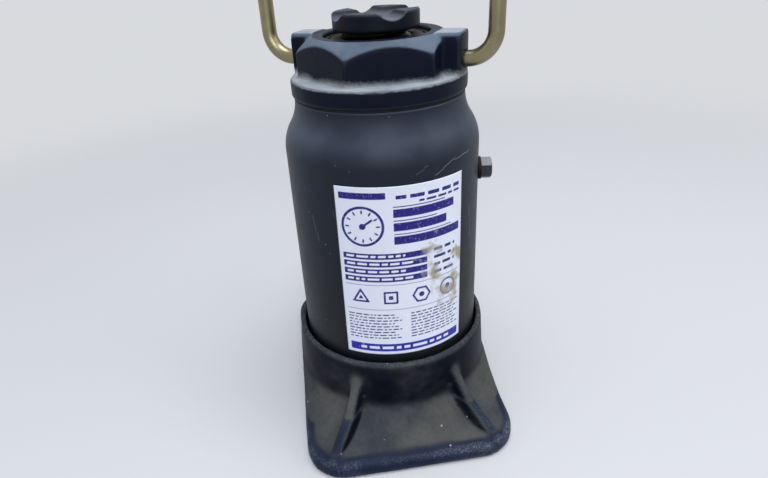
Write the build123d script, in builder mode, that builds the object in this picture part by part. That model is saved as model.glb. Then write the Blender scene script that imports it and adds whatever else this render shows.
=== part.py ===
from build123d import *
import os
from math import cos, radians, sin, sqrt, tan

os.makedirs("parts", exist_ok=True)

# A hydraulic bottle jack. Lengths are in millimetres and angles in degrees. The ram's axis is Z and the floor
# is z = 0. The front is -Y and the pump stands at the back. Azimuths are counted from the front, towards +X.

# Travels
ram_stroke = 155.0
screw_stroke = 100.0
lever_travel = 40.0

# Clearances
running = 0.05
fitted = 0.05
free = 0.3

# How far a cut runs past the face that it opens
past = 1.0

# Crowned hexagons of the small fittings
crown_share = 0.95
crown_slope = 30.0

# Foot plate and collar of the base casting
plate_thickness = 11.0
plate_corner = 24.0
plate_edge = 4.5
plate_margin = 3.9
base_front = 82.0
rear_margin = 2.0
floor_height = 22.0
collar_height = 58.5
collar_gap = 1.2
collar_seat = 2.0
rim_thickness = 3.4
rim_round = 1.5
collar_draft = 1.4
skirt_run = 24.0
skirt_height = 19.0
skirt_inset = 1.5

# Stiffening ribs of the base casting
rib_start = (28.0, 50.0)
rib_foot = (49.5, 78.3)
rib_height = 49.0
rib_shoulder = 1.0
rib_top_bend = 4.0
rib_waist = 15.0
rib_waist_height = 28.5
rib_waist_bend = 14.0
rib_width = 6.0
rib_round = 2.6
rib_root = 6.0

# Reservoir tube
tube_radius = 54.0
tube_wall = 4.0
neck_radius = 46.0
neck_height = 27.0
gasket_thickness = 1.2
gasket_inset = 0.3

# Head nut
flange_radius = 47.0
flange_thickness = 9.4
flange_round = 1.3
hex_flats = 74.0
hex_height = 19.8
hex_chamfer_radius = 34.0
hex_chamfer_slope = 40.0
spigot_length = 14.3
spigot_gap = 0.2
head_thread_above = 5.7
ear_width = 18.0
ear_height = 20.3
ear_round = 3.0
ear_edge = 0.8
ear_bite = 4.5
ear_azimuth = 60.0

# Pressure cylinder, ram and piston
cylinder_bore = 27.0
cylinder_wall = 5.0
cylinder_recess = 2.0
socket_wall = 6.0
socket_height = 4.0
copper_thickness = 1.5
oil_space = 2.5
ram_radius = 25.0
ram_recess = 2.0
ram_chamfer = 1.0
piston_nose = 7.0
nose_radius = 12.0
piston_length = 20.0
cup_height = 4.5
cup_groove = 2.2
cup_nut_flats = 32.0
bypass_radius = 1.5
wiper_width = 3.0
wiper_depth = 8.5
wiper_height = 6.4
wiper_round = 1.0
guide_seal_height = 3.0
guide_seal_width = 2.4

# Lift screw, its saddle and its stop
screw_radius = 17.9
screw_wall = 4.8
thread_grip = 35.0
saddle_radius = 22.5
saddle_thickness = 9.0
saddle_gap = 3.5
saddle_chamfer = 0.8
saddle_under_chamfer = 1.2
groove_width = 14.5
groove_depth = 3.5
groove_azimuth = 14.5
centre_hole_radius = 3.5
centre_hole_depth = 8.0
stop_thickness = 5.0
journal_radius = 8.0
clip_width = 3.0
clip_thickness = 1.2
clip_bite = 1.0
journal_end = 2.0
screw_space = 10.0

# Carrying handle
bail_wire = 4.0
bail_clearance = 4.8
bail_slide = 1.2
bail_bend = 13.5
bail_corner = 34.0
bail_height = 79.5
bail_crank_height = 38.0
bail_crank_bend = 20.0
bail_set_back = 31.0
bail_pivot_height = 6.8
bail_bite = 9.0
bail_end_gap = 2.0

# Pump: barrel, plunger and boss
boss_radius = 16.0
boss_height = 40.0
boss_round = 2.5
barrel_radius = 12.0
barrel_hex = 24.0
barrel_hex_height = 9.0
barrel_neck = 11.0
barrel_neck_height = 9.0
plunger_radius = 6.0
plunger_rest_gap = 2.5
plunger_chamfer = 0.8
packing_radius = 9.0
packing_height = 4.0
packing_depth = 8.0
gland_hex = 22.0
gland_hex_height = 8.0
eye_radius = 7.5
eye_thickness = 13.0
eye_gap = 2.8

# Valves and oil ways
oil_way = 2.0
ball_chamber = 4.5
suction_height = 5.5
seat_height = 9.5
chamber_top = 18.0
suction_ball_radius = 3.2
blank_radius = 3.5
blank_length = 7.0
blank_recess = 5.0
discharge_height = 14.0
discharge_seat = 14.0
discharge_bore = 5.0
discharge_ball_radius = 3.6
spring_radius = 3.0
spring_wire = 0.5
spring_turns = 4
spring_pitch = 1.6
discharge_thread = 8.0
discharge_boss_radius = 9.0
plug_socket = 0.55
boss_chamfer = 1.2
ball_lift = 0.01
pressure_port = (8.0, 15.0)
pressure_way_height = 12.0

# Release valve
release_x = 30.0
release_height = 20.0
release_boss_radius = 11.5
release_inset = 24.0
release_reach = 20.0
release_bore = 5.0
release_point = 1.0
release_tip = 3.5
release_nose = 4.0
release_throat = 3.0
release_thread_gap = 0.5
release_stem = 4.0
release_packing_radius = 7.0
release_packing_height = 3.0
release_gland_depth = 3.0
release_gland_flats = 16.0
release_gland_height = 6.0
release_knob_radius = 8.0
release_knob_gap = 3.0
release_knob_length = 12.0
release_slot = 3.2
release_slot_depth = 4.5
return_way = 1.7
return_x = 33.5

# Fulcrum, lever socket and their pins
lever_arm = 24.0
lug_thickness = 13.0
lug_radius = 8.5
lug_round = 1.2
cheek_gap = 0.5
cheek_thickness = 5.0
cheek_radius = 9.0
cheek_tube_gap = 1.0
fulcrum_pin_radius = 5.0
plunger_pin_radius = 4.0
pin_overhang = 3.5
pin_head = 2.0
pin_head_step = 1.8
pin_clip = 1.2
pin_groove = 0.8
clip_opening = 3.0
socket_angle = 37.0
socket_start = 33.0
socket_floor = 4.0
socket_depth = 50.0
socket_bore = 12.75
socket_wall_thickness = 2.75
socket_rim = 1.5
socket_rim_length = 6.0

# Filler plug
plug_azimuth = 80.0
plug_height = 152.5
plug_flats = 11.0
plug_head = 6.0
plug_washer = 1.5
plug_washer_radius = 6.5
plug_shank = 4.0

# Heights that follow from the stack of pieces along the ram's axis
cylinder_bottom = floor_height - cylinder_recess + copper_thickness
piston_nose_z = cylinder_bottom + oil_space
piston_bottom = piston_nose_z + piston_nose
piston_top = piston_bottom + piston_length
head_shoulder = piston_top + ram_stroke
flange_bottom = head_shoulder - head_thread_above
flange_top = flange_bottom + flange_thickness
head_top = flange_top + hex_height
tube_bottom = floor_height + gasket_thickness
tube_top = flange_bottom - gasket_thickness
ram_top = head_top - ram_recess
saddle_bottom = ram_top + saddle_gap
saddle_top = saddle_bottom + saddle_thickness
mouth_bottom = ram_top - thread_grip
stop_top = mouth_bottom - screw_stroke - free
stop_bottom = stop_top - stop_thickness
clip_top = stop_bottom - free
screw_end = clip_top - clip_thickness - journal_end
spigot_top = screw_end - screw_space
bail_pivot_z = flange_top + bail_pivot_height

# Radii that follow from the tube and the ram
collar_bore = tube_radius + collar_gap
collar_radius = collar_bore + rim_thickness
base_width = 2 * (collar_radius + plate_margin)
cylinder_radius = cylinder_bore + cylinder_wall
spigot_radius = neck_radius - tube_wall - spigot_gap
mouth_radius = screw_radius + running
relief_radius = ram_radius - screw_wall
wiper_radius = ram_radius + wiper_width
bail_half = tube_radius + bail_clearance + bail_wire

# Places of the pump linkage
fulcrum_y = tube_radius + cheek_tube_gap + cheek_radius
pump_y = fulcrum_y + lever_arm
base_rear = pump_y + boss_radius + rear_margin
release_boss_end = base_rear - release_inset
release_seat_y = release_boss_end - release_reach
barrel_bottom = chamber_top + copper_thickness
barrel_hex_top = boss_height + barrel_hex_height
barrel_top = barrel_hex_top + barrel_neck_height
gland_top = barrel_top + gland_hex_height
half_travel = lever_travel / 2
pin_drop = lever_arm * tan(radians(half_travel))
plunger_pin_z = gland_top + eye_gap + eye_radius
fulcrum_z = plunger_pin_z + pin_drop
cheek_inner = lug_thickness / 2 + cheek_gap
cheek_outer = cheek_inner + cheek_thickness
pin_end = cheek_outer + pin_overhang


# The foot plate's outline, which the collar's skirt is also trimmed to.
with BuildSketch() as foot_outline:
    with Locations((0, (base_rear - base_front) / 2)):
        RectangleRounded(base_width, base_front + base_rear, plate_corner)

with BuildSketch() as skirt_outline:
    with Locations((0, (base_rear - base_front) / 2)):
        RectangleRounded(
            base_width - 2 * skirt_inset, base_front + base_rear - 2 * plate_edge, plate_corner - plate_edge
        )

# The collar that holds the reservoir tube: a drafted ring on a hollow-curved skirt, turned about the ram's axis.
collar_foot = collar_radius + collar_draft
skirt_bend = (skirt_run**2 + skirt_height**2) / (2 * skirt_height)
with BuildPart() as collar_form:
    with BuildSketch(Plane.XZ):
        with BuildLine():
            l1 = Polyline(
                (0, collar_height),
                (0, 0),
                (collar_foot + skirt_run, 0),
                (collar_foot + skirt_run, plate_thickness),
            )
            l2 = RadiusArc(l1 @ 1, (collar_foot, plate_thickness + skirt_height), skirt_bend)
            l3 = Line(l2 @ 1, (collar_radius, collar_height - rim_round))
            l4 = RadiusArc(l3 @ 1, (collar_radius - rim_round, collar_height), -rim_round)
            Line(l4 @ 1, l1 @ 0)
        make_face()
    revolve(axis=Axis.Z)
    add(skirt_outline.sketch)
    extrude(amount=collar_height, mode=Mode.INTERSECT)


def rib_form(side, end):
    """One rib from the collar to the foot plate. side and end are -1 or 1, along X and along Y."""
    run_x = side * (rib_foot[0] - rib_start[0])
    run_y = end * (rib_foot[1] - rib_start[1])
    run = sqrt(run_x**2 + run_y**2)
    start = (side * rib_start[0], end * rib_start[1], 0)
    upright = Plane(origin=start, x_dir=(run_x, run_y, 0), z_dir=(run_y, -run_x, 0))
    with BuildPart() as form:
        with BuildSketch(upright):
            with BuildLine():
                Polyline(
                    (run, plate_thickness),
                    (run, plate_thickness / 2),
                    (-rib_root, plate_thickness / 2),
                    (-rib_root, rib_height),
                )
                FilletPolyline(
                    (-rib_root, rib_height),
                    (rib_shoulder, rib_height),
                    (rib_waist, rib_waist_height),
                    (run, plate_thickness),
                    radius=(rib_top_bend, rib_waist_bend),
                )
            make_face()
        extrude(amount=rib_width / 2, both=True)
        ridge = form.faces().filter_by(lambda f: f.normal_at().Z > running).edges()
        arcs = ridge.filter_by(GeomType.CIRCLE)
        straights = ridge.filter_by(lambda e: e.geom_type != GeomType.CIRCLE and e.length > rib_width + past)
        fillet(arcs + straights, rib_round)
    return form.part


# The boss that the pump screws into, with the web that joins it to the collar.
with BuildPart() as pump_boss_form:
    with BuildSketch():
        with Locations((0, pump_y)):
            Circle(boss_radius)
        with Locations((0, (tube_radius + pump_y) / 2)):
            Rectangle(2 * boss_radius, pump_y - tube_radius)
    extrude(amount=boss_height)
    fillet(pump_boss_form.faces().sort_by(Axis.Z)[-1].edges(), boss_round)

# The lug that carries the lever's fulcrum pin, upright between the tube and the pump.
with BuildPart() as lug_form:
    with BuildSketch(Plane.YZ):
        with Locations((fulcrum_y, fulcrum_z)):
            Circle(lug_radius)
        with Locations((fulcrum_y, boss_height - boss_round)):
            Rectangle(2 * lug_radius, boss_round)
        make_hull()
    extrude(amount=lug_thickness / 2, both=True)
    fillet(lug_form.faces().filter_by(Axis.X).edges(), lug_round)

# The release valve's boss, lying on the foot plate to the right of the pump.
with BuildPart() as release_boss_form:
    with BuildSketch(Plane.XZ.offset(-tube_radius)):
        with Locations((release_x, release_height)):
            Circle(release_boss_radius)
        with Locations((release_x, (plate_thickness + release_height) / 2)):
            Rectangle(2 * release_boss_radius, release_height - plate_thickness)
    extrude(amount=tube_radius - release_boss_end)
    chamfer(release_boss_form.faces().sort_by(Axis.Y)[-1].edges().filter_by(GeomType.CIRCLE), boss_chamfer)

# Where the delivery valve's ball, spring and plug come along its cross boss, counted from the pump to -X.
discharge_ball_at = discharge_seat + sqrt(discharge_ball_radius**2 - oil_way**2) + ball_lift
spring_seat = sqrt((discharge_ball_radius + spring_wire) ** 2 - spring_radius**2)
spring_start = discharge_ball_at + spring_seat + ball_lift
spring_length = spring_turns * spring_pitch
discharge_plug_at = spring_start + spring_length + spring_wire + ball_lift
discharge_end = discharge_plug_at + discharge_thread

with BuildPart() as discharge_boss_form:
    with BuildSketch(Plane.YZ.offset(-discharge_end)):
        with Locations((pump_y, discharge_height)):
            Circle(discharge_boss_radius)
    extrude(amount=discharge_end)
    chamfer(discharge_boss_form.faces().sort_by(Axis.X)[0].edges(), boss_chamfer)


def drill(start, end, radius):
    """Bores the part in hand from start to end."""
    way = Vector(*end) - Vector(*start)
    with Locations(Plane(origin=start, z_dir=way).location):
        Cylinder(radius, way.length, align=(Align.CENTER, Align.CENTER, Align.MIN), mode=Mode.SUBTRACT)


def crowned_hexagon(plane, flats, height, crown_radius=None, crown_angle=crown_slope):
    """A hexagon prism on a plane, its outer corners turned down from a circle on its end face."""
    corner = flats / 2 / cos(radians(30))
    crown = crown_radius or flats / 2 * crown_share
    with BuildPart() as prism:
        with BuildSketch(plane):
            Circle(corner)
        extrude(amount=height)
        end = prism.faces().sort_by(Axis(plane.origin, plane.z_dir))[-1]
        chamfer(end.edges(), corner - crown, angle=crown_angle, reference=end)
        with BuildSketch(plane):
            RegularPolygon(flats / 2, 6, major_radius=False)
        extrude(amount=height, mode=Mode.INTERSECT)
    return prism.part


# Base casting: foot plate, collar, ribs, bosses and lug in one iron casting, bored for all that it holds.
socket_radius = cylinder_radius + fitted + socket_wall
inlet_radius = (socket_radius + tube_radius - tube_wall) / 2
return_y = sqrt(inlet_radius**2 - return_x**2)
recess_z = floor_height - cylinder_recess
release_packing_y = release_boss_end - release_gland_depth - release_packing_height
with BuildPart() as base_casting:
    add(foot_outline.sketch)
    extrude(amount=plate_thickness)
    fillet(base_casting.faces().sort_by(Axis.Z)[-1].edges(), plate_edge)
    add(collar_form.part)
    for side, end in ((-1, -1), (1, -1), (-1, 1)):
        add(rib_form(side, end))
    add(pump_boss_form.part)
    add(lug_form.part)
    add(release_boss_form.part)
    add(discharge_boss_form.part)
    # The tube's seat and the wider collar above it, round the socket of the pressure cylinder
    with BuildSketch(Plane.XY.offset(floor_height)):
        Circle(tube_radius + fitted)
        Circle(socket_radius, mode=Mode.SUBTRACT)
    extrude(amount=socket_height, mode=Mode.SUBTRACT)
    drill((0, 0, floor_height + socket_height), (0, 0, collar_height + past), tube_radius + fitted)
    with BuildSketch(Plane.XY.offset(floor_height + collar_seat)):
        Circle(collar_bore)
        Circle(tube_radius - tube_wall, mode=Mode.SUBTRACT)
    extrude(amount=collar_height, mode=Mode.SUBTRACT)
    drill((0, 0, recess_z), (0, 0, floor_height + socket_height + past), cylinder_radius + fitted)
    # The pump's bore over the suction ball's chamber, and the way in from the reservoir
    drill((0, pump_y, chamber_top), (0, pump_y, boss_height + past), barrel_radius)
    drill((0, pump_y, seat_height), (0, pump_y, chamber_top + past), ball_chamber)
    drill((0, pump_y, suction_height), (0, pump_y, seat_height + past), oil_way)
    drill((0, inlet_radius, suction_height), (0, base_rear - blank_recess, suction_height), oil_way)
    drill((0, inlet_radius, suction_height), (0, inlet_radius, floor_height + past), oil_way)
    blank_y = base_rear - blank_recess - blank_length
    drill((0, blank_y, suction_height), (0, base_rear + past, suction_height), blank_radius + fitted)
    # The delivery valve across the pump, and the way on to the cylinder
    port_x, port_y = pressure_port
    seat_at = (-discharge_seat, pump_y, discharge_height)
    drill((0, pump_y, discharge_height), (-discharge_seat - past, pump_y, discharge_height), oil_way)
    drill(seat_at, (-discharge_end - past, pump_y, discharge_height), discharge_bore)
    drill((-discharge_ball_at, pump_y, discharge_height), (-port_x, port_y, discharge_height), oil_way)
    drill((-port_x, port_y, discharge_height), (-port_x, port_y, recess_z + past), oil_way)
    # The release valve between the cylinder and the reservoir
    needle_seat = (release_x, release_seat_y, release_height)
    throat_y = release_seat_y - release_throat
    drill(needle_seat, (release_x, throat_y - oil_way, release_height), oil_way)
    drill((release_x, throat_y, release_height), (port_x, port_y, pressure_way_height), oil_way)
    drill((port_x, port_y, pressure_way_height), (port_x, port_y, recess_z + past), oil_way)
    drill(needle_seat, (release_x, release_boss_end, release_height), release_bore)
    drill(
        (release_x, release_packing_y, release_height),
        (release_x, release_boss_end + past, release_height),
        release_packing_radius,
    )
    return_z = release_height - oil_way - return_way / 2
    drill((return_x, release_seat_y + release_nose, return_z), (return_x, return_y, return_z), return_way)
    drill((return_x, return_y, return_z), (return_x, return_y, floor_height + past), return_way)
    # The fulcrum pin's hole
    pin_hole = fulcrum_pin_radius + fitted
    drill((-lug_thickness, fulcrum_y, fulcrum_z), (lug_thickness, fulcrum_y, fulcrum_z), pin_hole)
base_casting.part.label = "base_casting"
export_step(base_casting.part, "parts/base_casting.step")

# Copper ring under the pressure cylinder
with BuildPart() as cylinder_gasket:
    with BuildSketch(Plane.XY.offset(recess_z)):
        Circle(cylinder_radius - gasket_inset)
        Circle(cylinder_bore + gasket_inset, mode=Mode.SUBTRACT)
    extrude(amount=copper_thickness)
cylinder_gasket.part.label = "cylinder_gasket"
export_step(cylinder_gasket.part, "parts/cylinder_gasket.step")

# Flat gaskets at the two ends of the reservoir tube
with BuildPart() as tube_lower_gasket:
    with BuildSketch(Plane.XY.offset(floor_height)):
        Circle(tube_radius - gasket_inset)
        Circle(tube_radius - tube_wall + gasket_inset, mode=Mode.SUBTRACT)
    extrude(amount=gasket_thickness)
tube_lower_gasket.part.label = "tube_lower_gasket"
export_step(tube_lower_gasket.part, "parts/tube_lower_gasket.step")

with BuildPart() as tube_upper_gasket:
    with BuildSketch(Plane.XY.offset(tube_top)):
        Circle(neck_radius - gasket_inset)
        Circle(neck_radius - tube_wall + gasket_inset, mode=Mode.SUBTRACT)
    extrude(amount=gasket_thickness)
tube_upper_gasket.part.label = "tube_upper_gasket"
export_step(tube_upper_gasket.part, "parts/tube_upper_gasket.step")

# Reservoir tube: drawn steel whose top is necked in to the head nut by two equal arcs, one out and one in.
neck_step = (tube_radius - neck_radius) / 2
neck_half = neck_height / 2
neck_bend = (neck_half**2 + neck_step**2) / (2 * neck_step)
shoulder_z = tube_top - neck_height
waist = Vector(tube_radius - neck_step, shoulder_z + neck_half)
inward = (waist - Vector(tube_radius - neck_bend, shoulder_z)) / neck_bend
waist_inside = waist - inward * tube_wall
out_of_tube = (sin(radians(plug_azimuth)), -cos(radians(plug_azimuth)), 0)
plug_plane = Plane(origin=(0, 0, plug_height), x_dir=(0, 0, 1), z_dir=out_of_tube)
with BuildPart() as reservoir_tube:
    with BuildSketch(Plane.XZ):
        with BuildLine():
            Polyline(
                (tube_radius - tube_wall, shoulder_z),
                (tube_radius - tube_wall, tube_bottom),
                (tube_radius, tube_bottom),
                (tube_radius, shoulder_z),
            )
            RadiusArc((tube_radius, shoulder_z), waist, -neck_bend)
            RadiusArc(waist, (neck_radius, tube_top), neck_bend)
            Line((neck_radius, tube_top), (neck_radius - tube_wall, tube_top))
            RadiusArc((neck_radius - tube_wall, tube_top), waist_inside, -neck_bend - tube_wall)
            RadiusArc(waist_inside, (tube_radius - tube_wall, shoulder_z), neck_bend - tube_wall)
        make_face()
    revolve(axis=Axis.Z)
    with BuildSketch(plug_plane.offset(tube_radius - 2 * tube_wall)):
        Circle(plug_shank + fitted)
    extrude(amount=3 * tube_wall, mode=Mode.SUBTRACT)
reservoir_tube.part.label = "reservoir_tube"
export_step(reservoir_tube.part, "parts/reservoir_tube.step")

# Filler plug: a hexagon screw through the tube's wall on a flat washer
with BuildPart() as filler_washer:
    with BuildSketch(plug_plane.offset(tube_radius)):
        Circle(plug_washer_radius)
        Circle(plug_shank + fitted, mode=Mode.SUBTRACT)
    extrude(amount=plug_washer)
filler_washer.part.label = "filler_washer"
export_step(filler_washer.part, "parts/filler_washer.step")

with BuildPart() as filler_plug:
    with BuildSketch(plug_plane.offset(tube_radius - tube_wall)):
        Circle(plug_shank)
    extrude(amount=tube_wall + plug_washer)
    add(crowned_hexagon(plug_plane.offset(tube_radius + plug_washer), plug_flats, plug_head))
filler_plug.part.label = "filler_plug"
export_step(filler_plug.part, "parts/filler_plug.step")

# Pressure cylinder: honed tube between the base and the head nut, with a bypass hole that ends the stroke
with BuildPart() as pressure_cylinder:
    with BuildSketch(Plane.XY.offset(cylinder_bottom)):
        Circle(cylinder_radius)
        Circle(cylinder_bore, mode=Mode.SUBTRACT)
    extrude(amount=head_shoulder - free - cylinder_bottom)
    bypass_z = piston_bottom + ram_stroke - cup_height / 2
    drill((0, 0, bypass_z), (0, -cylinder_radius - past, bypass_z), bypass_radius)
pressure_cylinder.part.label = "pressure_cylinder"
export_step(pressure_cylinder.part, "parts/pressure_cylinder.step")

# One of the two ears that hold the carrying handle, standing on the flange against a flat of the hexagon
with BuildPart() as ear_form:
    with BuildSketch(Plane.XY.offset(flange_top)):
        Circle(flange_radius)
        with Locations((hex_flats / 2 - ear_bite, 0)):
            Rectangle(flange_radius, ear_width, align=(Align.MIN, Align.CENTER), mode=Mode.INTERSECT)
    extrude(amount=ear_height)
    top_edges = ear_form.faces().sort_by(Axis.Z)[-1].edges()
    fillet(top_edges.filter_by(Axis.X), ear_round)
    outer_edges = ear_form.faces().sort_by(Axis.X)[-1].edges()
    fillet(outer_edges.filter_by(lambda e: e.center().Z > flange_top + past), ear_edge)

# Head nut: turned flange and spigot under a big crowned hexagon, screwed down over the cylinder
with BuildPart() as head_nut:
    with BuildSketch(Plane.XY.offset(flange_bottom)):
        Circle(flange_radius)
    extrude(amount=flange_thickness)
    fillet(head_nut.edges().filter_by(GeomType.CIRCLE), flange_round)
    with BuildSketch(Plane.XY.offset(flange_bottom - spigot_length)):
        Circle(spigot_radius)
    extrude(amount=spigot_length)
    on_flange = Plane.XY.offset(flange_top)
    add(crowned_hexagon(on_flange, hex_flats, hex_height, hex_chamfer_radius, hex_chamfer_slope))
    for turn in (ear_azimuth - 90, ear_azimuth + 90):
        add(ear_form.part, rotation=(0, 0, turn))
    drill((0, 0, flange_bottom - spigot_length - past), (0, 0, head_shoulder), cylinder_radius + fitted)
    drill((0, 0, head_shoulder), (0, 0, head_top + past), ram_radius + running)
    drill((0, 0, head_top - wiper_depth), (0, 0, head_top + past), wiper_radius + fitted)
    with BuildSketch(Plane.XY.offset(head_shoulder + guide_seal_height)):
        Circle(ram_radius + guide_seal_width + fitted)
        Circle(ram_radius, mode=Mode.SUBTRACT)
    extrude(amount=guide_seal_height + fitted, mode=Mode.SUBTRACT)
    ear_x = sin(radians(ear_azimuth))
    ear_y = -cos(radians(ear_azimuth))
    hole_end = flange_radius - bail_bite - bail_end_gap
    for side in (-1, 1):
        inner = (side * hole_end * ear_x, side * hole_end * ear_y, bail_pivot_z)
        outer = (side * bail_half * ear_x, side * bail_half * ear_y, bail_pivot_z)
        drill(inner, outer, bail_wire + running)
head_nut.part.label = "head_nut"
export_step(head_nut.part, "parts/head_nut.step")

# Wiper ring round the ram at the top of the head nut, and the seal ring below it
with BuildPart() as ram_wiper:
    with BuildSketch(Plane.XY.offset(head_top - wiper_depth)):
        Circle(wiper_radius)
        Circle(ram_radius + running, mode=Mode.SUBTRACT)
    extrude(amount=wiper_height)
    fillet(ram_wiper.faces().sort_by(Axis.Z)[-1].edges().sort_by(SortBy.RADIUS)[-1], wiper_round)
ram_wiper.part.label = "ram_wiper"
export_step(ram_wiper.part, "parts/ram_wiper.step")

with BuildPart() as ram_seal:
    with BuildSketch(Plane.XY.offset(head_shoulder + guide_seal_height)):
        Circle(ram_radius + guide_seal_width)
        Circle(ram_radius + running, mode=Mode.SUBTRACT)
    extrude(amount=guide_seal_height)
ram_seal.part.label = "ram_seal"
export_step(ram_seal.part, "parts/ram_seal.step")

# Ram: thick tube whose mouth is threaded for the lift screw and whose bore is relieved below the thread
with BuildPart() as ram:
    with BuildSketch(Plane.XY.offset(piston_top)):
        Circle(ram_radius)
        Circle(relief_radius, mode=Mode.SUBTRACT)
    extrude(amount=mouth_bottom - piston_top)
    with BuildSketch(Plane.XY.offset(mouth_bottom)):
        Circle(ram_radius)
        Circle(mouth_radius, mode=Mode.SUBTRACT)
    extrude(amount=thread_grip)
    chamfer(ram.faces().sort_by(Axis.Z)[-1].edges(), ram_chamfer)
ram.part.label = "ram"
export_step(ram.part, "parts/ram.step")

# Piston: screwed into the foot of the ram, its shoulder stops against the head nut at full stroke
with BuildPart() as piston:
    with BuildSketch(Plane.XY.offset(piston_bottom)):
        Circle(cylinder_bore - running)
    extrude(amount=piston_length)
    chamfer(piston.edges(), ram_chamfer)
    with BuildSketch(Plane.XY.offset(piston_nose_z)):
        Circle(nose_radius)
    extrude(amount=piston_nose)
    with BuildSketch(Plane.XY.offset(piston_top)):
        Circle(relief_radius - fitted)
    extrude(amount=spigot_top - piston_top)
piston.part.label = "piston"
export_step(piston.part, "parts/piston.step")

# Cup seal on the piston's nose, with its lips down, and the nut that holds it
with BuildPart() as piston_cup:
    with BuildSketch(Plane.XY.offset(piston_bottom - cup_height)):
        Circle(cylinder_bore - running)
        Circle(nose_radius + fitted, mode=Mode.SUBTRACT)
    extrude(amount=cup_height)
    with BuildSketch(Plane.XY.offset(piston_bottom - cup_height)):
        Circle(cylinder_bore - cup_groove)
        Circle(cylinder_bore - 2 * cup_groove, mode=Mode.SUBTRACT)
    extrude(amount=cup_groove, mode=Mode.SUBTRACT)
piston_cup.part.label = "piston_cup"
export_step(piston_cup.part, "parts/piston_cup.step")

with BuildPart() as cup_nut:
    with BuildSketch(Plane.XY.offset(piston_nose_z)):
        RegularPolygon(cup_nut_flats / 2, 6, major_radius=False)
        Circle(nose_radius + fitted, mode=Mode.SUBTRACT)
    extrude(amount=piston_nose - cup_height)
cup_nut.part.label = "cup_nut"
export_step(cup_nut.part, "parts/cup_nut.step")

# Lift screw: its head is the saddle, a disc cut by two crossing round-bottomed grooves
groove_radius = (groove_width**2 / 4 + groove_depth**2) / (2 * groove_depth)
groove_z = saddle_top - groove_depth + groove_radius
with BuildPart() as lift_screw:
    with BuildSketch(Plane.XY.offset(saddle_bottom)):
        Circle(saddle_radius)
    extrude(amount=saddle_thickness)
    chamfer(lift_screw.edges().sort_by(Axis.Z)[-1], saddle_chamfer)
    chamfer(lift_screw.edges().sort_by(Axis.Z)[0], saddle_under_chamfer)
    with BuildSketch(Plane.XY.offset(stop_top + free)):
        Circle(screw_radius)
    extrude(amount=saddle_bottom - stop_top - free)
    with BuildSketch(Plane.XY.offset(screw_end)):
        Circle(journal_radius)
    extrude(amount=stop_top + free - screw_end)
    with BuildSketch(Plane.XY.offset(clip_top - clip_thickness)):
        Circle(journal_radius)
        Circle(journal_radius - clip_bite, mode=Mode.SUBTRACT)
    extrude(amount=clip_thickness, mode=Mode.SUBTRACT)
    for azimuth in (groove_azimuth, groove_azimuth - 90):
        reach_x = 2 * saddle_radius * sin(radians(azimuth))
        reach_y = -2 * saddle_radius * cos(radians(azimuth))
        drill((-reach_x, -reach_y, groove_z), (reach_x, reach_y, groove_z), groove_radius)
    drill((0, 0, saddle_top - centre_hole_depth), (0, 0, saddle_top), centre_hole_radius)
lift_screw.part.label = "lift_screw"
export_step(lift_screw.part, "parts/lift_screw.step")

# Stop ring, which slides in the relieved bore and meets the thread's end at full reach, and the clip under it
with BuildPart() as stop_ring:
    with BuildSketch(Plane.XY.offset(stop_bottom)):
        Circle(relief_radius - running)
        Circle(journal_radius + running, mode=Mode.SUBTRACT)
    extrude(amount=stop_thickness)
stop_ring.part.label = "stop_ring"
export_step(stop_ring.part, "parts/stop_ring.step")

with BuildPart() as stop_clip:
    with BuildSketch(Plane.XY.offset(clip_top - clip_thickness)):
        Circle(journal_radius + clip_width)
        Circle(journal_radius - clip_bite + fitted, mode=Mode.SUBTRACT)
        with Locations((journal_radius, 0)):
            Rectangle(2 * journal_radius, clip_opening, mode=Mode.SUBTRACT)
    extrude(amount=clip_thickness)
stop_clip.part.label = "stop_clip"
export_step(stop_clip.part, "parts/stop_clip.step")

# Carrying handle: one round wire whose ends spring into the ears. Its bow is cranked back above the saddle,
# so that the ram can rise past the grip, and it hangs with its end play taken up to the left.
with BuildPart() as bail_handle:
    bow_centre = (-bail_slide * ear_x, -bail_slide * ear_y, bail_pivot_z)
    bow_plane = Plane(origin=bow_centre, x_dir=(ear_x, ear_y, 0), z_dir=(0, 0, 1))
    bow_end = flange_radius - bail_bite
    with BuildLine(bow_plane) as bow:
        FilletPolyline(
            (-bow_end, 0, 0),
            (-bail_half, 0, 0),
            (-bail_half, 0, bail_crank_height),
            (-bail_half, bail_set_back, bail_height),
            (bail_half, bail_set_back, bail_height),
            (bail_half, 0, bail_crank_height),
            (bail_half, 0, 0),
            (bow_end, 0, 0),
            radius=(bail_bend, bail_crank_bend, bail_corner, bail_corner, bail_crank_bend, bail_bend),
        )
    with BuildSketch(Plane(origin=bow.line @ 0, z_dir=bow.line % 0)):
        Circle(bail_wire)
    sweep(path=bow.line)
bail_handle.part.label = "bail_handle"
export_step(bail_handle.part, "parts/bail_handle.step")

# Pump barrel: screwed into the boss by its hexagon, bored for the plunger and its packing
with BuildPart() as pump_washer:
    with BuildSketch(Plane.XY.offset(chamber_top)):
        with Locations((0, pump_y)):
            Circle(barrel_radius - gasket_inset)
            Circle(plunger_radius + gasket_inset, mode=Mode.SUBTRACT)
    extrude(amount=copper_thickness)
pump_washer.part.label = "pump_washer"
export_step(pump_washer.part, "parts/pump_washer.step")

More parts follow.
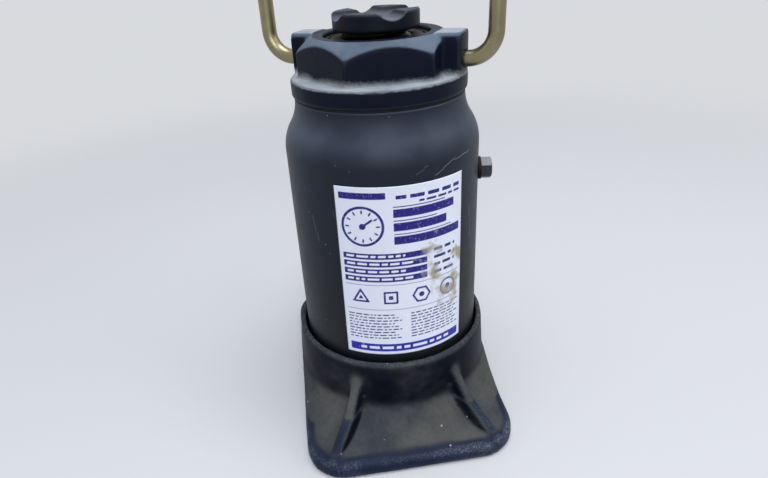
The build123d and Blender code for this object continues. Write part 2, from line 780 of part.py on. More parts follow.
with BuildPart() as pump_barrel:
    with BuildSketch(Plane.XY.offset(barrel_bottom)):
        with Locations((0, pump_y)):
            Circle(barrel_radius - fitted)
    extrude(amount=boss_height - barrel_bottom)
    with BuildSketch(Plane.XY.offset(barrel_hex_top)):
        with Locations((0, pump_y)):
            Circle(barrel_neck)
    extrude(amount=barrel_neck_height)
    add(crowned_hexagon(Plane((0, pump_y, boss_height)), barrel_hex, barrel_hex_height))
    drill((0, pump_y, barrel_bottom), (0, pump_y, barrel_top), plunger_radius + running)
    drill((0, pump_y, barrel_top - packing_depth), (0, pump_y, barrel_top + past), packing_radius)
pump_barrel.part.label = "pump_barrel"
export_step(pump_barrel.part, "parts/pump_barrel.step")

with BuildPart() as pump_packing:
    with BuildSketch(Plane.XY.offset(barrel_top - packing_depth)):
        with Locations((0, pump_y)):
            Circle(packing_radius - fitted)
            Circle(plunger_radius + running, mode=Mode.SUBTRACT)
    extrude(amount=packing_height)
pump_packing.part.label = "pump_packing"
export_step(pump_packing.part, "parts/pump_packing.step")

with BuildPart() as pump_gland:
    with BuildSketch(Plane.XY.offset(barrel_top - packing_depth + packing_height)):
        with Locations((0, pump_y)):
            Circle(packing_radius - fitted)
    extrude(amount=packing_depth - packing_height)
    add(crowned_hexagon(Plane((0, pump_y, barrel_top)), gland_hex, gland_hex_height))
    drill((0, pump_y, barrel_bottom), (0, pump_y, gland_top + past), plunger_radius + running)
pump_gland.part.label = "pump_gland"
export_step(pump_gland.part, "parts/pump_gland.step")

# Pump plunger: a ground rod with a cross eye on top for the lever's pin
with BuildPart() as pump_plunger:
    with BuildSketch(Plane.XY.offset(barrel_bottom + plunger_rest_gap)):
        with Locations((0, pump_y)):
            Circle(plunger_radius)
    extrude(amount=plunger_pin_z - barrel_bottom - plunger_rest_gap)
    with BuildSketch(Plane.YZ):
        with Locations((pump_y, plunger_pin_z)):
            Circle(eye_radius)
    extrude(amount=eye_thickness / 2, both=True)
    chamfer(pump_plunger.edges().filter_by(GeomType.CIRCLE).sort_by(Axis.Z)[0], plunger_chamfer)
    pin_hole = plunger_pin_radius + fitted
    drill((-lug_thickness, pump_y, plunger_pin_z), (lug_thickness, pump_y, plunger_pin_z), pin_hole)
pump_plunger.part.label = "pump_plunger"
export_step(pump_plunger.part, "parts/pump_plunger.step")


def socket_plug(plane, place, radius, length):
    """A threaded plug from a plane, with a hexagon socket in its far end."""
    with BuildPart() as plug:
        with BuildSketch(plane):
            with Locations(place):
                Circle(radius)
        extrude(amount=length)
        with BuildSketch(plane.offset(length)):
            with Locations(place):
                RegularPolygon(radius * plug_socket, 6)
        extrude(amount=-length * plug_socket, mode=Mode.SUBTRACT)
    return plug.part


# Balls, spring and plugs of the suction and delivery valves
with BuildPart() as suction_ball:
    with Locations((0, pump_y, seat_height + sqrt(suction_ball_radius**2 - oil_way**2) + ball_lift)):
        Sphere(suction_ball_radius)
suction_ball.part.label = "suction_ball"
export_step(suction_ball.part, "parts/suction_ball.step")

with BuildPart() as suction_blank:
    add(socket_plug(Plane.XZ.offset(-blank_y), (0, suction_height), blank_radius, -blank_length))
suction_blank.part.label = "suction_blank"
export_step(suction_blank.part, "parts/suction_blank.step")

with BuildPart() as discharge_ball:
    with Locations((-discharge_ball_at, pump_y, discharge_height)):
        Sphere(discharge_ball_radius)
discharge_ball.part.label = "discharge_ball"
export_step(discharge_ball.part, "parts/discharge_ball.step")

with BuildPart() as discharge_spring:
    with BuildLine() as coil:
        spring_foot = (-spring_start, pump_y, discharge_height)
        Helix(spring_pitch, spring_length, spring_radius, center=spring_foot, direction=(-1, 0, 0))
    with BuildSketch(Plane(origin=coil.line @ 0, z_dir=coil.line % 0)):
        Circle(spring_wire)
    sweep(path=coil.line)
discharge_spring.part.label = "discharge_spring"
export_step(discharge_spring.part, "parts/discharge_spring.step")

with BuildPart() as discharge_plug:
    inner_end = Plane.YZ.offset(-discharge_plug_at)
    add(socket_plug(inner_end, (pump_y, discharge_height), discharge_bore - fitted, -discharge_thread))
discharge_plug.part.label = "discharge_plug"
export_step(discharge_plug.part, "parts/discharge_plug.step")

# Release valve: a needle with a coned point, its packing and gland, and a slotted knob outside
release_knob_y = release_boss_end + release_gland_height + release_knob_gap
release_thread_end = release_packing_y - release_thread_gap
needle_point_y = release_seat_y - oil_way + release_point + ball_lift
needle_cone_y = release_seat_y - oil_way + release_tip + ball_lift
with BuildPart() as release_needle:
    with BuildSketch(Plane.YZ):
        with BuildLine():
            Polyline(
                (needle_point_y, 0),
                (needle_point_y, release_point),
                (needle_cone_y, release_tip),
                (release_seat_y + release_nose, release_tip),
                (release_seat_y + release_nose, release_bore - running),
                (release_thread_end, release_bore - running),
                (release_thread_end, release_stem),
                (release_knob_y, release_stem),
                (release_knob_y, release_knob_radius),
                (release_knob_y + release_knob_length, release_knob_radius),
                (release_knob_y + release_knob_length, 0),
                close=True,
            )
        make_face()
    revolve(axis=Axis.Y)
    chamfer(release_needle.faces().sort_by(Axis.Y)[-1].edges(), ram_chamfer)
    with BuildSketch(Plane.XZ.offset(-release_knob_y - release_knob_length)):
        Rectangle(2 * release_knob_radius, release_slot)
        Rectangle(release_slot, 2 * release_knob_radius)
    extrude(amount=release_slot_depth, mode=Mode.SUBTRACT)
release_needle.part = release_needle.part.moved(Location((release_x, 0, release_height)))
release_needle.part.label = "release_needle"
export_step(release_needle.part, "parts/release_needle.step")

with BuildPart() as release_packing:
    with BuildSketch(Plane.XZ.offset(-release_packing_y)):
        with Locations((release_x, release_height)):
            Circle(release_packing_radius - fitted)
            Circle(release_stem + running, mode=Mode.SUBTRACT)
    extrude(amount=-release_packing_height)
release_packing.part.label = "release_packing"
export_step(release_packing.part, "parts/release_packing.step")

with BuildPart() as release_gland:
    with BuildSketch(Plane.XZ.offset(release_gland_depth - release_boss_end)):
        with Locations((release_x, release_height)):
            Circle(release_packing_radius - fitted)
    extrude(amount=-release_gland_depth)
    boss_end = (release_x, release_boss_end, release_height)
    behind_boss = Plane(origin=boss_end, x_dir=(1, 0, 0), z_dir=(0, 1, 0))
    add(crowned_hexagon(behind_boss, release_gland_flats, release_gland_height))
    gland_start = (release_x, release_packing_y, release_height)
    gland_end = (release_x, release_boss_end + release_gland_height + past, release_height)
    drill(gland_start, gland_end, release_stem + running)
release_gland.part.label = "release_gland"
export_step(release_gland.part, "parts/release_gland.step")

# Lever socket: a tube for the pump lever, with two cheeks that straddle the lug and the plunger's eye
socket_rest = socket_angle - half_travel
along = (0, cos(radians(socket_rest)), sin(radians(socket_rest)))
socket_plane = Plane(origin=(0, fulcrum_y, fulcrum_z), x_dir=along, z_dir=(1, 0, 0))
socket_radius_out = socket_bore + socket_wall_thickness
socket_length = socket_floor + socket_depth
pin_far = lever_arm / cos(radians(half_travel))
slot_x = (lever_arm + pin_far) / 2 * cos(radians(socket_angle))
slot_y = -(lever_arm + pin_far) / 2 * sin(radians(socket_angle))
with BuildPart() as lever_socket:
    with BuildSketch(socket_plane):
        Circle(cheek_radius)
        with Locations((slot_x, slot_y)):
            Circle(cheek_radius)
        with Locations((socket_start + cheek_radius, 0)):
            Circle(cheek_radius)
        make_hull()
    extrude(amount=cheek_outer, both=True)
    with BuildSketch(Plane(origin=socket_plane.from_local_coords((socket_start, 0, 0)), z_dir=along)):
        Circle(socket_radius_out)
    extrude(amount=socket_length)
    rim_start = socket_plane.from_local_coords((socket_start + socket_length - socket_rim_length, 0, 0))
    with BuildSketch(Plane(origin=rim_start, z_dir=along)):
        Circle(socket_radius_out + socket_rim)
    extrude(amount=socket_rim_length)
    fillet(lever_socket.faces().sort_by(Axis(socket_plane.origin, along))[-1].edges(), socket_rim / 2)
    with BuildSketch(socket_plane):
        with Locations((socket_start / 2 - cheek_radius, 0)):
            Rectangle(socket_start + 2 * cheek_radius, 2 * lever_arm + 2 * cheek_radius)
    extrude(amount=cheek_inner, both=True, mode=Mode.SUBTRACT)
    bore_start = socket_plane.from_local_coords((socket_start + socket_floor, 0, 0))
    bore_end = socket_plane.from_local_coords((socket_start + socket_length + past, 0, 0))
    drill(bore_start, bore_end, socket_bore)
    pin_hole = fulcrum_pin_radius + running
    drill((-2 * cheek_outer, fulcrum_y, fulcrum_z), (2 * cheek_outer, fulcrum_y, fulcrum_z), pin_hole)
    with BuildSketch(socket_plane):
        with Locations((slot_x, slot_y)):
            slot_run = pin_far - lever_arm + free
            SlotCenterToCenter(slot_run, 2 * (plunger_pin_radius + free), rotation=-socket_angle)
    extrude(amount=2 * cheek_outer, both=True, mode=Mode.SUBTRACT)
lever_socket.part.label = "lever_socket"
export_step(lever_socket.part, "parts/lever_socket.step")


def cross_pin(radius, y, z):
    """A headed pin across the linkage, with a groove near its far end."""
    seat = cheek_outer + free
    with BuildPart() as pin:
        with BuildSketch(Plane.YZ.offset(-seat - pin_head)):
            with Locations((y, z)):
                Circle(radius + pin_head_step)
        extrude(amount=pin_head)
        with BuildSketch(Plane.YZ.offset(-seat)):
            with Locations((y, z)):
                Circle(radius)
        extrude(amount=seat + pin_end)
        chamfer(pin.edges().sort_by(Axis.X)[-1], pin_groove)
        with BuildSketch(Plane.YZ.offset(seat)):
            with Locations((y, z)):
                Circle(radius)
                Circle(radius - pin_groove, mode=Mode.SUBTRACT)
        extrude(amount=pin_clip, mode=Mode.SUBTRACT)
    return pin.part


def pin_ring(radius, y, z):
    """The spring clip in a pin's groove, open at the bottom."""
    with BuildPart() as ring:
        with BuildSketch(Plane.YZ.offset(cheek_outer + free)):
            with Locations((y, z)):
                Circle(radius + pin_head_step)
                Circle(radius - pin_groove + fitted, mode=Mode.SUBTRACT)
            with Locations((y, z - radius)):
                Rectangle(clip_opening, 2 * radius, mode=Mode.SUBTRACT)
        extrude(amount=pin_clip)
    return ring.part


# The fulcrum pin stays in the lug, and the plunger's pin runs in the slots of the socket's cheeks
with BuildPart() as fulcrum_pin:
    add(cross_pin(fulcrum_pin_radius, fulcrum_y, fulcrum_z))
fulcrum_pin.part.label = "fulcrum_pin"
export_step(fulcrum_pin.part, "parts/fulcrum_pin.step")

with BuildPart() as fulcrum_clip:
    add(pin_ring(fulcrum_pin_radius, fulcrum_y, fulcrum_z))
fulcrum_clip.part.label = "fulcrum_clip"
export_step(fulcrum_clip.part, "parts/fulcrum_clip.step")

with BuildPart() as plunger_pin:
    add(cross_pin(plunger_pin_radius, pump_y, plunger_pin_z))
plunger_pin.part.label = "plunger_pin"
export_step(plunger_pin.part, "parts/plunger_pin.step")

with BuildPart() as plunger_clip:
    add(pin_ring(plunger_pin_radius, pump_y, plunger_pin_z))
plunger_clip.part.label = "plunger_clip"
export_step(plunger_clip.part, "parts/plunger_clip.step")
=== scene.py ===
import math

import bmesh
import bpy
import numpy as np
from mathutils import Matrix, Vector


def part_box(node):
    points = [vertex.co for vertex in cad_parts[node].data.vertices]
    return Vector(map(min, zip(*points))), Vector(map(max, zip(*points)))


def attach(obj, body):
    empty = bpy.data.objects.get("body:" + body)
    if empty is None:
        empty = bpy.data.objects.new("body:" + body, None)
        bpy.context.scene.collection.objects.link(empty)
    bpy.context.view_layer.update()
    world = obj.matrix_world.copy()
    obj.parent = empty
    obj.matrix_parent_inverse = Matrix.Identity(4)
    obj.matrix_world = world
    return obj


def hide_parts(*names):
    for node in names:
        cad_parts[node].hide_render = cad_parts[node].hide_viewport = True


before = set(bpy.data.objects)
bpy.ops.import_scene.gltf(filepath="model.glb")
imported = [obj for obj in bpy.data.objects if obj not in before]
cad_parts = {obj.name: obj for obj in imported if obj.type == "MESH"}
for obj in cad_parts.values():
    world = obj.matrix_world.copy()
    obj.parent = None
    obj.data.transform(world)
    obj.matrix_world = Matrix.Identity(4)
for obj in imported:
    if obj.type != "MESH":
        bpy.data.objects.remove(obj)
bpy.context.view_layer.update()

# Base casting: foot plate, ribs, collar and bosses, poured as one piece of grey iron in a sand mould and
# painted. The sand leaves soft corners, fillets in every root and a lumpy, grainy skin. Dust lies on what
# faces up, and hands and floors have rubbed the edges. Where the plate's rim and the ribs' feet are free of
# dust, the paint is given a lighter blue as a painted sky sheen.
casting_voxel = 0.00135
casting_rounds = 3
casting_lump = 0.013
casting_lump_height = 0.00022
casting_grain = 0.0031
casting_grain_height = 0.00007
rib_start = np.array([0.028, -0.050])
rib_end = np.array([0.0495, -0.0783])
rib_half_width = 0.0042
rib_ledge = 0.0276
rib_ledge_depth = 0.0004
rib_fade = 0.004
ledge_fade = 0.001
plate_top = 0.011
plate_centre_y = 0.012
plate_half = np.array([0.0625, 0.094])
plate_corner = 0.024
border_start = 0.0075
border_end = 0.0040
border_wave = 0.009
border_wave_depth = 0.0012
border_rise = 0.002
plate_edge_heights = (0.0125, 0.0100)
collar_rim_heights = (0.0548, 0.0566)
relief_rounds = 10
weld_gap = 1e-6


def places(mesh, kind="co"):
    """The mesh's points, or their normals, as rows of x, y and z."""
    values = np.empty(3 * len(mesh.vertices))
    mesh.vertices.foreach_get(kind, values)
    return values.reshape(-1, 3)


def eased(value, low, high):
    """0 below low, 1 above high and 3t^2 - 2t^3 between them."""
    part = np.clip((value - low) / (high - low), 0, 1)
    return part * part * (3 - 2 * part)


def lumps(points, size, seed):
    """Smooth random heights from -1 to 1: random numbers on a cubic grid of that size, blended between its
    corners with the weight 3t^2 - 2t^3 along each axis. The grid repeats after its period."""
    period = 32
    table = np.random.default_rng(seed).uniform(-1, 1, (period, period, period))
    cell = np.floor(points / size).astype(int)
    part = eased(points / size - cell, 0, 1)
    total = np.zeros(len(points))
    for corner in np.ndindex(2, 2, 2):
        weight = np.prod(np.where(corner, part, 1 - part), axis=1)
        at = (cell + corner) % period
        total += weight * table[at[:, 0], at[:, 1], at[:, 2]]
    return total


def neighbour_mean(values, ends, count):
    """The mean of each point's neighbours along the mesh's edges."""
    first, second = ends.T
    sums = [
        np.bincount(first, column[second], len(values)) + np.bincount(second, column[first], len(values))
        for column in values.T
    ]
    return np.stack(sums, axis=1) / count[:, None]


def new_piece(name, mesh, material, body):
    """An object at the origin, which shows that mesh in that material and rides on that body."""
    piece = bpy.data.objects.new(name, mesh)
    bpy.context.scene.collection.objects.link(piece)
    mesh.materials.clear()
    mesh.materials.append(material)
    mesh.shade_smooth()
    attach(piece, body)
    return piece


def recast(node, voxel, rounds, above=None):
    """A CAD node's solid, or its part above a height, rebuilt on a voxel grid, each point then drawn to its
    neighbours' mean several times, as worn moulds and tumbling soften edges. The attribute relief says how
    many voxels a point stands out of the form around it."""
    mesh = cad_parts[node].data.copy()
    joined = bmesh.new()
    joined.from_mesh(mesh)
    bmesh.ops.remove_doubles(joined, verts=joined.verts, dist=weld_gap)
    if above is not None:
        whole = joined.verts[:] + joined.edges[:] + joined.faces[:]
        bmesh.ops.bisect_plane(joined, geom=whole, plane_co=(0, 0, above), plane_no=(0, 0, 1),
                               clear_inner=True)
        bmesh.ops.holes_fill(joined, edges=[e for e in joined.edges if e.is_boundary], sides=0)
    joined.to_mesh(mesh)
    joined.free()
    rough = bpy.data.objects.new("rough", mesh)
    bpy.context.scene.collection.objects.link(rough)
    grid = rough.modifiers.new("grid", "REMESH")
    grid.mode = "VOXEL"
    grid.voxel_size = voxel
    solid = bpy.data.meshes.new_from_object(rough.evaluated_get(bpy.context.evaluated_depsgraph_get()))
    bpy.data.objects.remove(rough)
    place = places(solid)
    ends = np.empty(2 * len(solid.edges), int)
    solid.edges.foreach_get("vertices", ends)
    ends = ends.reshape(-1, 2)
    count = np.bincount(ends.ravel(), minlength=len(place))
    for _ in range(rounds):
        place = neighbour_mean(place, ends, count)
    wide = place
    for _ in range(relief_rounds):
        wide = neighbour_mean(wide, ends, count)
    solid.vertices.foreach_set("co", place.ravel())
    solid.update()
    outward = places(solid, "normal")
    relief = ((place - wide) * outward).sum(axis=1) / voxel
    solid.attributes.new("relief", "FLOAT", "POINT").data.foreach_set("value", relief)
    return solid, place, outward


def raise_skin(mesh, place, outward, swell, node):
    """Moves each point along its normal by its swell, and keeps it inside the CAD node's own box."""
    low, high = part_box(node)
    place = np.clip(place + outward * swell[:, None], np.array(low), np.array(high))
    mesh.vertices.foreach_set("co", place.ravel())
    mesh.update()


def linear(hex_colour):
    """An sRGB hex colour as linear red, green, blue and alpha."""
    shares = [int(hex_colour[k : k + 2], 16) / 255 for k in (1, 3, 5)]
    return [s / 12.92 if s <= 0.04045 else ((s + 0.055) / 1.055) ** 2.4 for s in shares] + [1.0]


def add_node(tree, kind, links=None, out=0, **settings):
    """Adds a shader node and returns one of its outputs. Settings are its own properties. Links name or
    number its inputs, and give each a socket or a value."""
    node = tree.nodes.new("ShaderNode" + kind)
    for name, value in settings.items():
        setattr(node, name, value)
    for name, value in (links or {}).items():
        if isinstance(value, bpy.types.NodeSocket):
            tree.links.new(value, node.inputs[name])
        else:
            node.inputs[name].default_value = value
    return node.outputs[out]


def new_material(name, **sockets):
    """A material with one Principled shader, whose sockets get these constant values."""
    material = bpy.data.materials.new(name)
    material.use_nodes = True
    shader = material.node_tree.nodes["Principled BSDF"]
    for socket, value in sockets.items():
        shader.inputs[socket.replace("_", " ")].default_value = value
    return material, material.node_tree, shader


# A Mix node of colours blends its inputs 6 and 7 by its input 0, and gives the result at its output 2.
colour_mix = {"out": 2, "data_type": "RGBA"}


def mottled(tree, vector, size, detail, dark, light):
    """Noise whose spots have that size in metres, and two hex colours blended over it."""
    noise = add_node(tree, "TexNoise", {"Vector": vector, "Scale": 1 / size, "Detail": detail}, out="Fac")
    colour = add_node(tree, "Mix", {0: noise, 6: linear(dark), 7: linear(light)}, **colour_mix)
    return noise, colour


def connect(tree, shader, **outputs):
    """Links these outputs to the shader's sockets of those names."""
    for socket, output in outputs.items():
        tree.links.new(output, shader.inputs[socket.replace("_", " ")])


# Sand-cast grey iron under a thin blue-black enamel: half matt, nearly black on its steep faces, grey with
# settled dust wherever it faces up, and rubbed to pale flakes in patches of its edges. Where it is bare of
# dust, a lighter blue is a painted sky sheen. The sand's grain is drawn coarser than it is, so that it
# shows.
iron, tree, shader = new_material("painted_grey_iron", IOR=1.45, Specular_IOR_Level=0.05)
place_of = add_node(tree, "TexCoord", out="Object")
facing = add_node(tree, "SeparateXYZ", {0: add_node(tree, "TexCoord", out="Normal")}, out="Z")
height = add_node(tree, "SeparateXYZ", {0: place_of}, out="Z")
relief = add_node(tree, "Attribute", out="Fac", attribute_name="relief")
bare = add_node(tree, "Attribute", out="Fac", attribute_name="bare")
blotch, paint = mottled(tree, place_of, 0.03, 5.0, "#04060f", "#0c1120")
speckle = add_node(tree, "TexNoise", {"Vector": place_of, "Scale": 1 / 0.0025, "Detail": 5.0}, out="Fac")
tilt = add_node(tree, "Math", {0: blotch, 1: 0.35, 2: facing}, operation="MULTIPLY_ADD")
lying = add_node(tree, "MapRange", {"Value": tilt, "From Min": 0.16, "From Max": 0.62},
                 interpolation_type="SMOOTHSTEP")
free = add_node(tree, "MapRange", {"Value": bare, "To Min": 1.0, "To Max": 0.12})
settled = add_node(tree, "Math", {0: lying, 1: free}, operation="MULTIPLY")
on_edge = add_node(tree, "MapRange", {"Value": height, "From Min": plate_edge_heights[0],
                                      "From Max": plate_edge_heights[1]})
# Where the paint is bare of dust it turns a lighter blue: a painted sky sheen.
paint = add_node(tree, "Mix", {0: bare, 6: paint, 7: linear("#182238")}, **colour_mix)
patchy = add_node(tree, "MapRange", {"Value": blotch, "From Min": 0.35, "From Max": 0.65})
dust = add_node(tree, "Mix", {0: patchy, 6: linear("#3b4044"), 7: linear("#565654")}, **colour_mix)
grainy = add_node(tree, "MapRange", {"Value": speckle, "From Min": 0.3, "From Max": 0.6, "To Min": 0.86})
settled = add_node(tree, "Math", {0: settled, 1: grainy}, operation="MULTIPLY")
dusty = add_node(tree, "Mix", {0: settled, 6: paint, 7: dust}, **colour_mix)
proud = add_node(tree, "MapRange", {"Value": relief, "From Min": 0.2, "From Max": 0.6, "To Max": 0.75})
fine = add_node(tree, "TexNoise", {"Vector": place_of, "Scale": 1 / 0.0014, "Detail": 3.0}, out="Fac")
flakes = add_node(tree, "TexNoise", {"Vector": place_of, "Scale": 1 / 0.0009, "Detail": 2.0}, out="Fac")
torn = add_node(tree, "MapRange", {"Value": flakes, "From Min": 0.48, "From Max": 0.62, "To Min": 0.2})
spots_on = add_node(tree, "MapRange", {"Value": on_edge, "To Min": 0.15, "To Max": 0.9})
rubbed = add_node(tree, "Math", {0: proud, 1: torn}, operation="MULTIPLY")
rubbed = add_node(tree, "Math", {0: rubbed, 1: spots_on}, operation="MULTIPLY")
handled = add_node(tree, "MapRange", {"Value": blotch, "From Min": 0.42, "From Max": 0.58, "To Min": 0.2})
rubbed = add_node(tree, "Math", {0: rubbed, 1: handled}, operation="MULTIPLY")
worn = add_node(tree, "Mix", {0: rubbed, 6: dusty, 7: linear("#8893a3")}, **colour_mix)
near_rim = add_node(tree, "MapRange", {"Value": height, "From Min": collar_rim_heights[0],
                                       "From Max": collar_rim_heights[1]})
rough_rim = add_node(tree, "MapRange", {"Value": speckle, "From Min": 0.42, "From Max": 0.62})
rim_rubbed = add_node(tree, "Math", {0: near_rim, 1: rough_rim}, operation="MULTIPLY")
rimmed = add_node(tree, "Mix", {0: rim_rubbed, 6: worn, 7: linear("#36383d")}, **colour_mix)
chips = add_node(tree, "TexVoronoi", {"Vector": place_of, "Scale": 1 / 0.014}, out="Distance")
chip = add_node(tree, "MapRange", {"Value": chips, "From Min": 0.05, "From Max": 0.035})
chipped = add_node(tree, "Mix", {0: chip, 6: rimmed, 7: linear("#9c9a8e")}, **colour_mix)
matt = add_node(tree, "MapRange", {"Value": settled, "To Min": 0.38, "To Max": 0.85})
grain = add_node(tree, "Bump", {"Height": fine, "Strength": 0.3, "Distance": 0.0004}, out="Normal")
connect(tree, shader, Base_Color=chipped, Roughness=matt, Normal=grain)

casting_mesh, place, outward = recast("base_casting", casting_voxel, casting_rounds)
swell = lumps(place, casting_lump, 1) * casting_lump_height
swell += lumps(place, casting_grain, 2) * casting_grain_height
along = (rib_end - rib_start) / np.linalg.norm(rib_end - rib_start)
crosswise = np.array([along[1], -along[0]])
plan = np.stack([np.abs(place[:, 0]), place[:, 1]], axis=1) - rib_start
aside = np.abs(plan @ crosswise)
lateral = np.abs(np.stack([outward[:, 0] * np.sign(place[:, 0]), outward[:, 1]], axis=1) @ crosswise)
on_rib = eased(-aside, -rib_half_width, -0.75 * rib_half_width) * eased(plan @ along, 0, rib_fade)
below = eased(-place[:, 2], -rib_ledge, -rib_ledge + ledge_fade)
below *= eased(place[:, 2], plate_top, plate_top + rib_fade)
swell += rib_ledge_depth * on_rib * below * eased(lateral, 0.4, 0.9)
raise_skin(casting_mesh, place, outward, swell, "base_casting")
past = np.abs(place[:, :2] - [0, plate_centre_y]) - plate_half + plate_corner
to_outline = np.linalg.norm(np.maximum(past, 0), axis=1) + np.minimum(past.max(axis=1), 0) - plate_corner
to_outline += lumps(place, border_wave, 6) * border_wave_depth
border = eased(to_outline, -border_start, -border_end) * (place[:, 2] < plate_top + border_rise)
# The bare mask marks paint rubbed free of dust, which the material also gives a lighter blue, a painted
# sheen.
bare = np.maximum(on_rib * below * (1 - 0.8 * eased(lateral, 0.6, 0.9)), border)
casting_mesh.attributes.new("bare", "FLOAT", "POINT").data.foreach_set("value", bare)
casting = new_piece("cast_base", casting_mesh, iron, "jack_body")
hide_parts("base_casting")

# Reservoir tube: drawn steel tube, necked in hot at its top, with the same enamel as the casting but on a
# smooth skin. Drawing and necking leave it a few tenths of a millimetre out of round.
tube_low, tube_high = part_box("reservoir_tube")
tube_radius = tube_high.x
tube_wall = 0.004
neck_radius = 0.046
neck_height = 0.027
tube_swell = 0.00009
tube_rows = 60
neck_rows = 14
tube_columns = 256


def surface(name, place):
    """A mesh over a grid of points, rows by columns. Each four neighbours make a face, which looks outwards
    where columns run to the right and rows run up. Points that fall together become one, which closes seams
    and poles."""
    rows, columns = place.shape[:2]
    row, column = np.meshgrid(np.arange(rows - 1), np.arange(columns - 1), indexing="ij")
    first = row * columns + column
    quads = np.stack([first, first + 1, first + columns + 1, first + columns], axis=-1).reshape(-1, 4)
    mesh = bpy.data.meshes.new(name)
    mesh.from_pydata(place.reshape(-1, 3), [], quads.tolist())
    joined = bmesh.new()
    joined.from_mesh(mesh)
    bmesh.ops.remove_doubles(joined, verts=joined.verts, dist=weld_gap)
    joined.to_mesh(mesh)
    joined.free()
    return mesh


def around(radius, azimuth, height):
    """Points at those radii, heights and azimuths, which count from the front towards the right."""
    radius, azimuth, height = np.broadcast_arrays(radius, azimuth, height)
    return np.stack([radius * np.sin(azimuth), -radius * np.cos(azimuth), height], axis=-1)


def out_of_round(azimuth, height):
    """Two swells round the tube and three weaker ones that turn with its height, less their greatest sum, so
    that they lie inwards and the tube stays in its CAD box."""
    weaker = 0.6
    ring = np.sin(2 * azimuth + 0.7) + weaker * np.sin(3 * azimuth + 2.0 + height * 30)
    return tube_swell * (ring - 1 - weaker)


shoulder = tube_high.z - neck_height
step = (tube_radius - neck_radius) / 2
bend = ((neck_height / 2) ** 2 + step**2) / (2 * step)
rise = np.linspace(0, neck_height / 2, neck_rows)
lower_arc = tube_radius - bend + np.sqrt(bend**2 - rise**2)
upper_arc = neck_radius + bend - np.sqrt(bend**2 - (neck_height / 2 - rise) ** 2)
straight = np.linspace(tube_low.z, shoulder, tube_rows)[:-1]
outer = np.concatenate([
    np.stack([np.full(tube_rows - 1, tube_radius), straight], axis=1),
    np.stack([lower_arc, shoulder + rise], axis=1)[:-1],
    np.stack([upper_arc, shoulder + neck_height / 2 + rise], axis=1),
])
outline = np.concatenate([outer, outer[::-1] - [tube_wall, 0], outer[:1]])[:, :, None]
azimuth = np.linspace(0, 2 * np.pi, tube_columns + 1)[None, :]
tube_grid = around(outline[:, 0] + out_of_round(azimuth, outline[:, 1]), azimuth, outline[:, 1])
tube_mesh = surface("tube", tube_grid)

# Enamel on drawn steel: half-matt blue-black paint, cloudy and blacker towards the bottom, with a thin haze
# on the shoulder, pale specks of plaster, and a few hair-thin scratches. Each scratch is a line on the front
# from one place (x, z) to another, with its strength.
tube_scratches = (
    ((0.0180, 0.1665), (0.0300, 0.1740), 0.8),
    ((0.0285, 0.1725), (0.0400, 0.1735), 0.8),
    ((0.0080, 0.1690), (0.0150, 0.1735), 0.3),
    ((-0.0435, 0.1450), (-0.0415, 0.1290), 0.3),
    ((-0.0330, 0.1520), (-0.0322, 0.1460), 0.2),
    ((0.0405, 0.1440), (0.0420, 0.1210), 0.4),
)
scratch_width = 0.00018
scratch_wander = 0.0024
darker_below_heights = (0.165, 0.105)
enamel, tree, shader = new_material("blue_black_enamel", IOR=1.45, Specular_IOR_Level=0.22)
place_of = add_node(tree, "TexCoord", out="Object")
facing = add_node(tree, "SeparateXYZ", {0: add_node(tree, "TexCoord", out="Normal")}, out="Z")
cloud, paint = mottled(tree, place_of, 0.06, 5.0, "#0d121c", "#242d3b")
fine = add_node(tree, "TexNoise", {"Vector": place_of, "Scale": 1 / 0.006, "Detail": 4.0}, out="Fac")
height = add_node(tree, "SeparateXYZ", {0: place_of}, out="Z")
# Blacker towards the bottom, from the first of these heights down to the second.
darker_below = add_node(tree, "MapRange", {"Value": height, "From Min": darker_below_heights[0], "From Max": darker_below_heights[1],
                                    "To Max": 0.75})
paint = add_node(tree, "Mix", {0: darker_below, 6: paint, 7: linear("#0e1113")}, **colour_mix)
leaning = add_node(tree, "MapRange", {"Value": facing, "From Min": 0.02, "From Max": 0.5})
patchy = add_node(tree, "MapRange", {"Value": cloud, "From Min": 0.3, "From Max": 0.7})
haze = add_node(tree, "Math", {0: leaning, 1: patchy}, operation="MULTIPLY")
hazy = add_node(tree, "Mix", {0: haze, 6: paint, 7: linear("#454f5e")}, **colour_mix)
spots = add_node(tree, "TexVoronoi", {"Vector": place_of, "Scale": 1 / 0.006}, out="Distance")
spot = add_node(tree, "MapRange", {"Value": spots, "From Min": 0.055, "From Max": 0.035, "To Max": 0.7})
some = add_node(tree, "MapRange", {"Value": fine, "From Min": 0.48, "From Max": 0.56})
fleck = add_node(tree, "Math", {0: spot, 1: some}, operation="MULTIPLY")
flecked = add_node(tree, "Mix", {0: fleck, 6: hazy, 7: linear("#a9b0b8")}, **colour_mix)
wander = add_node(tree, "TexNoise", {"Vector": place_of, "Scale": 1 / 0.004, "Detail": 2.0}, out="Fac")
front = add_node(tree, "SeparateXYZ", {0: place_of}, out="Y")
on_front = add_node(tree, "Math", {0: front, 1: 0.0}, operation="LESS_THAN")
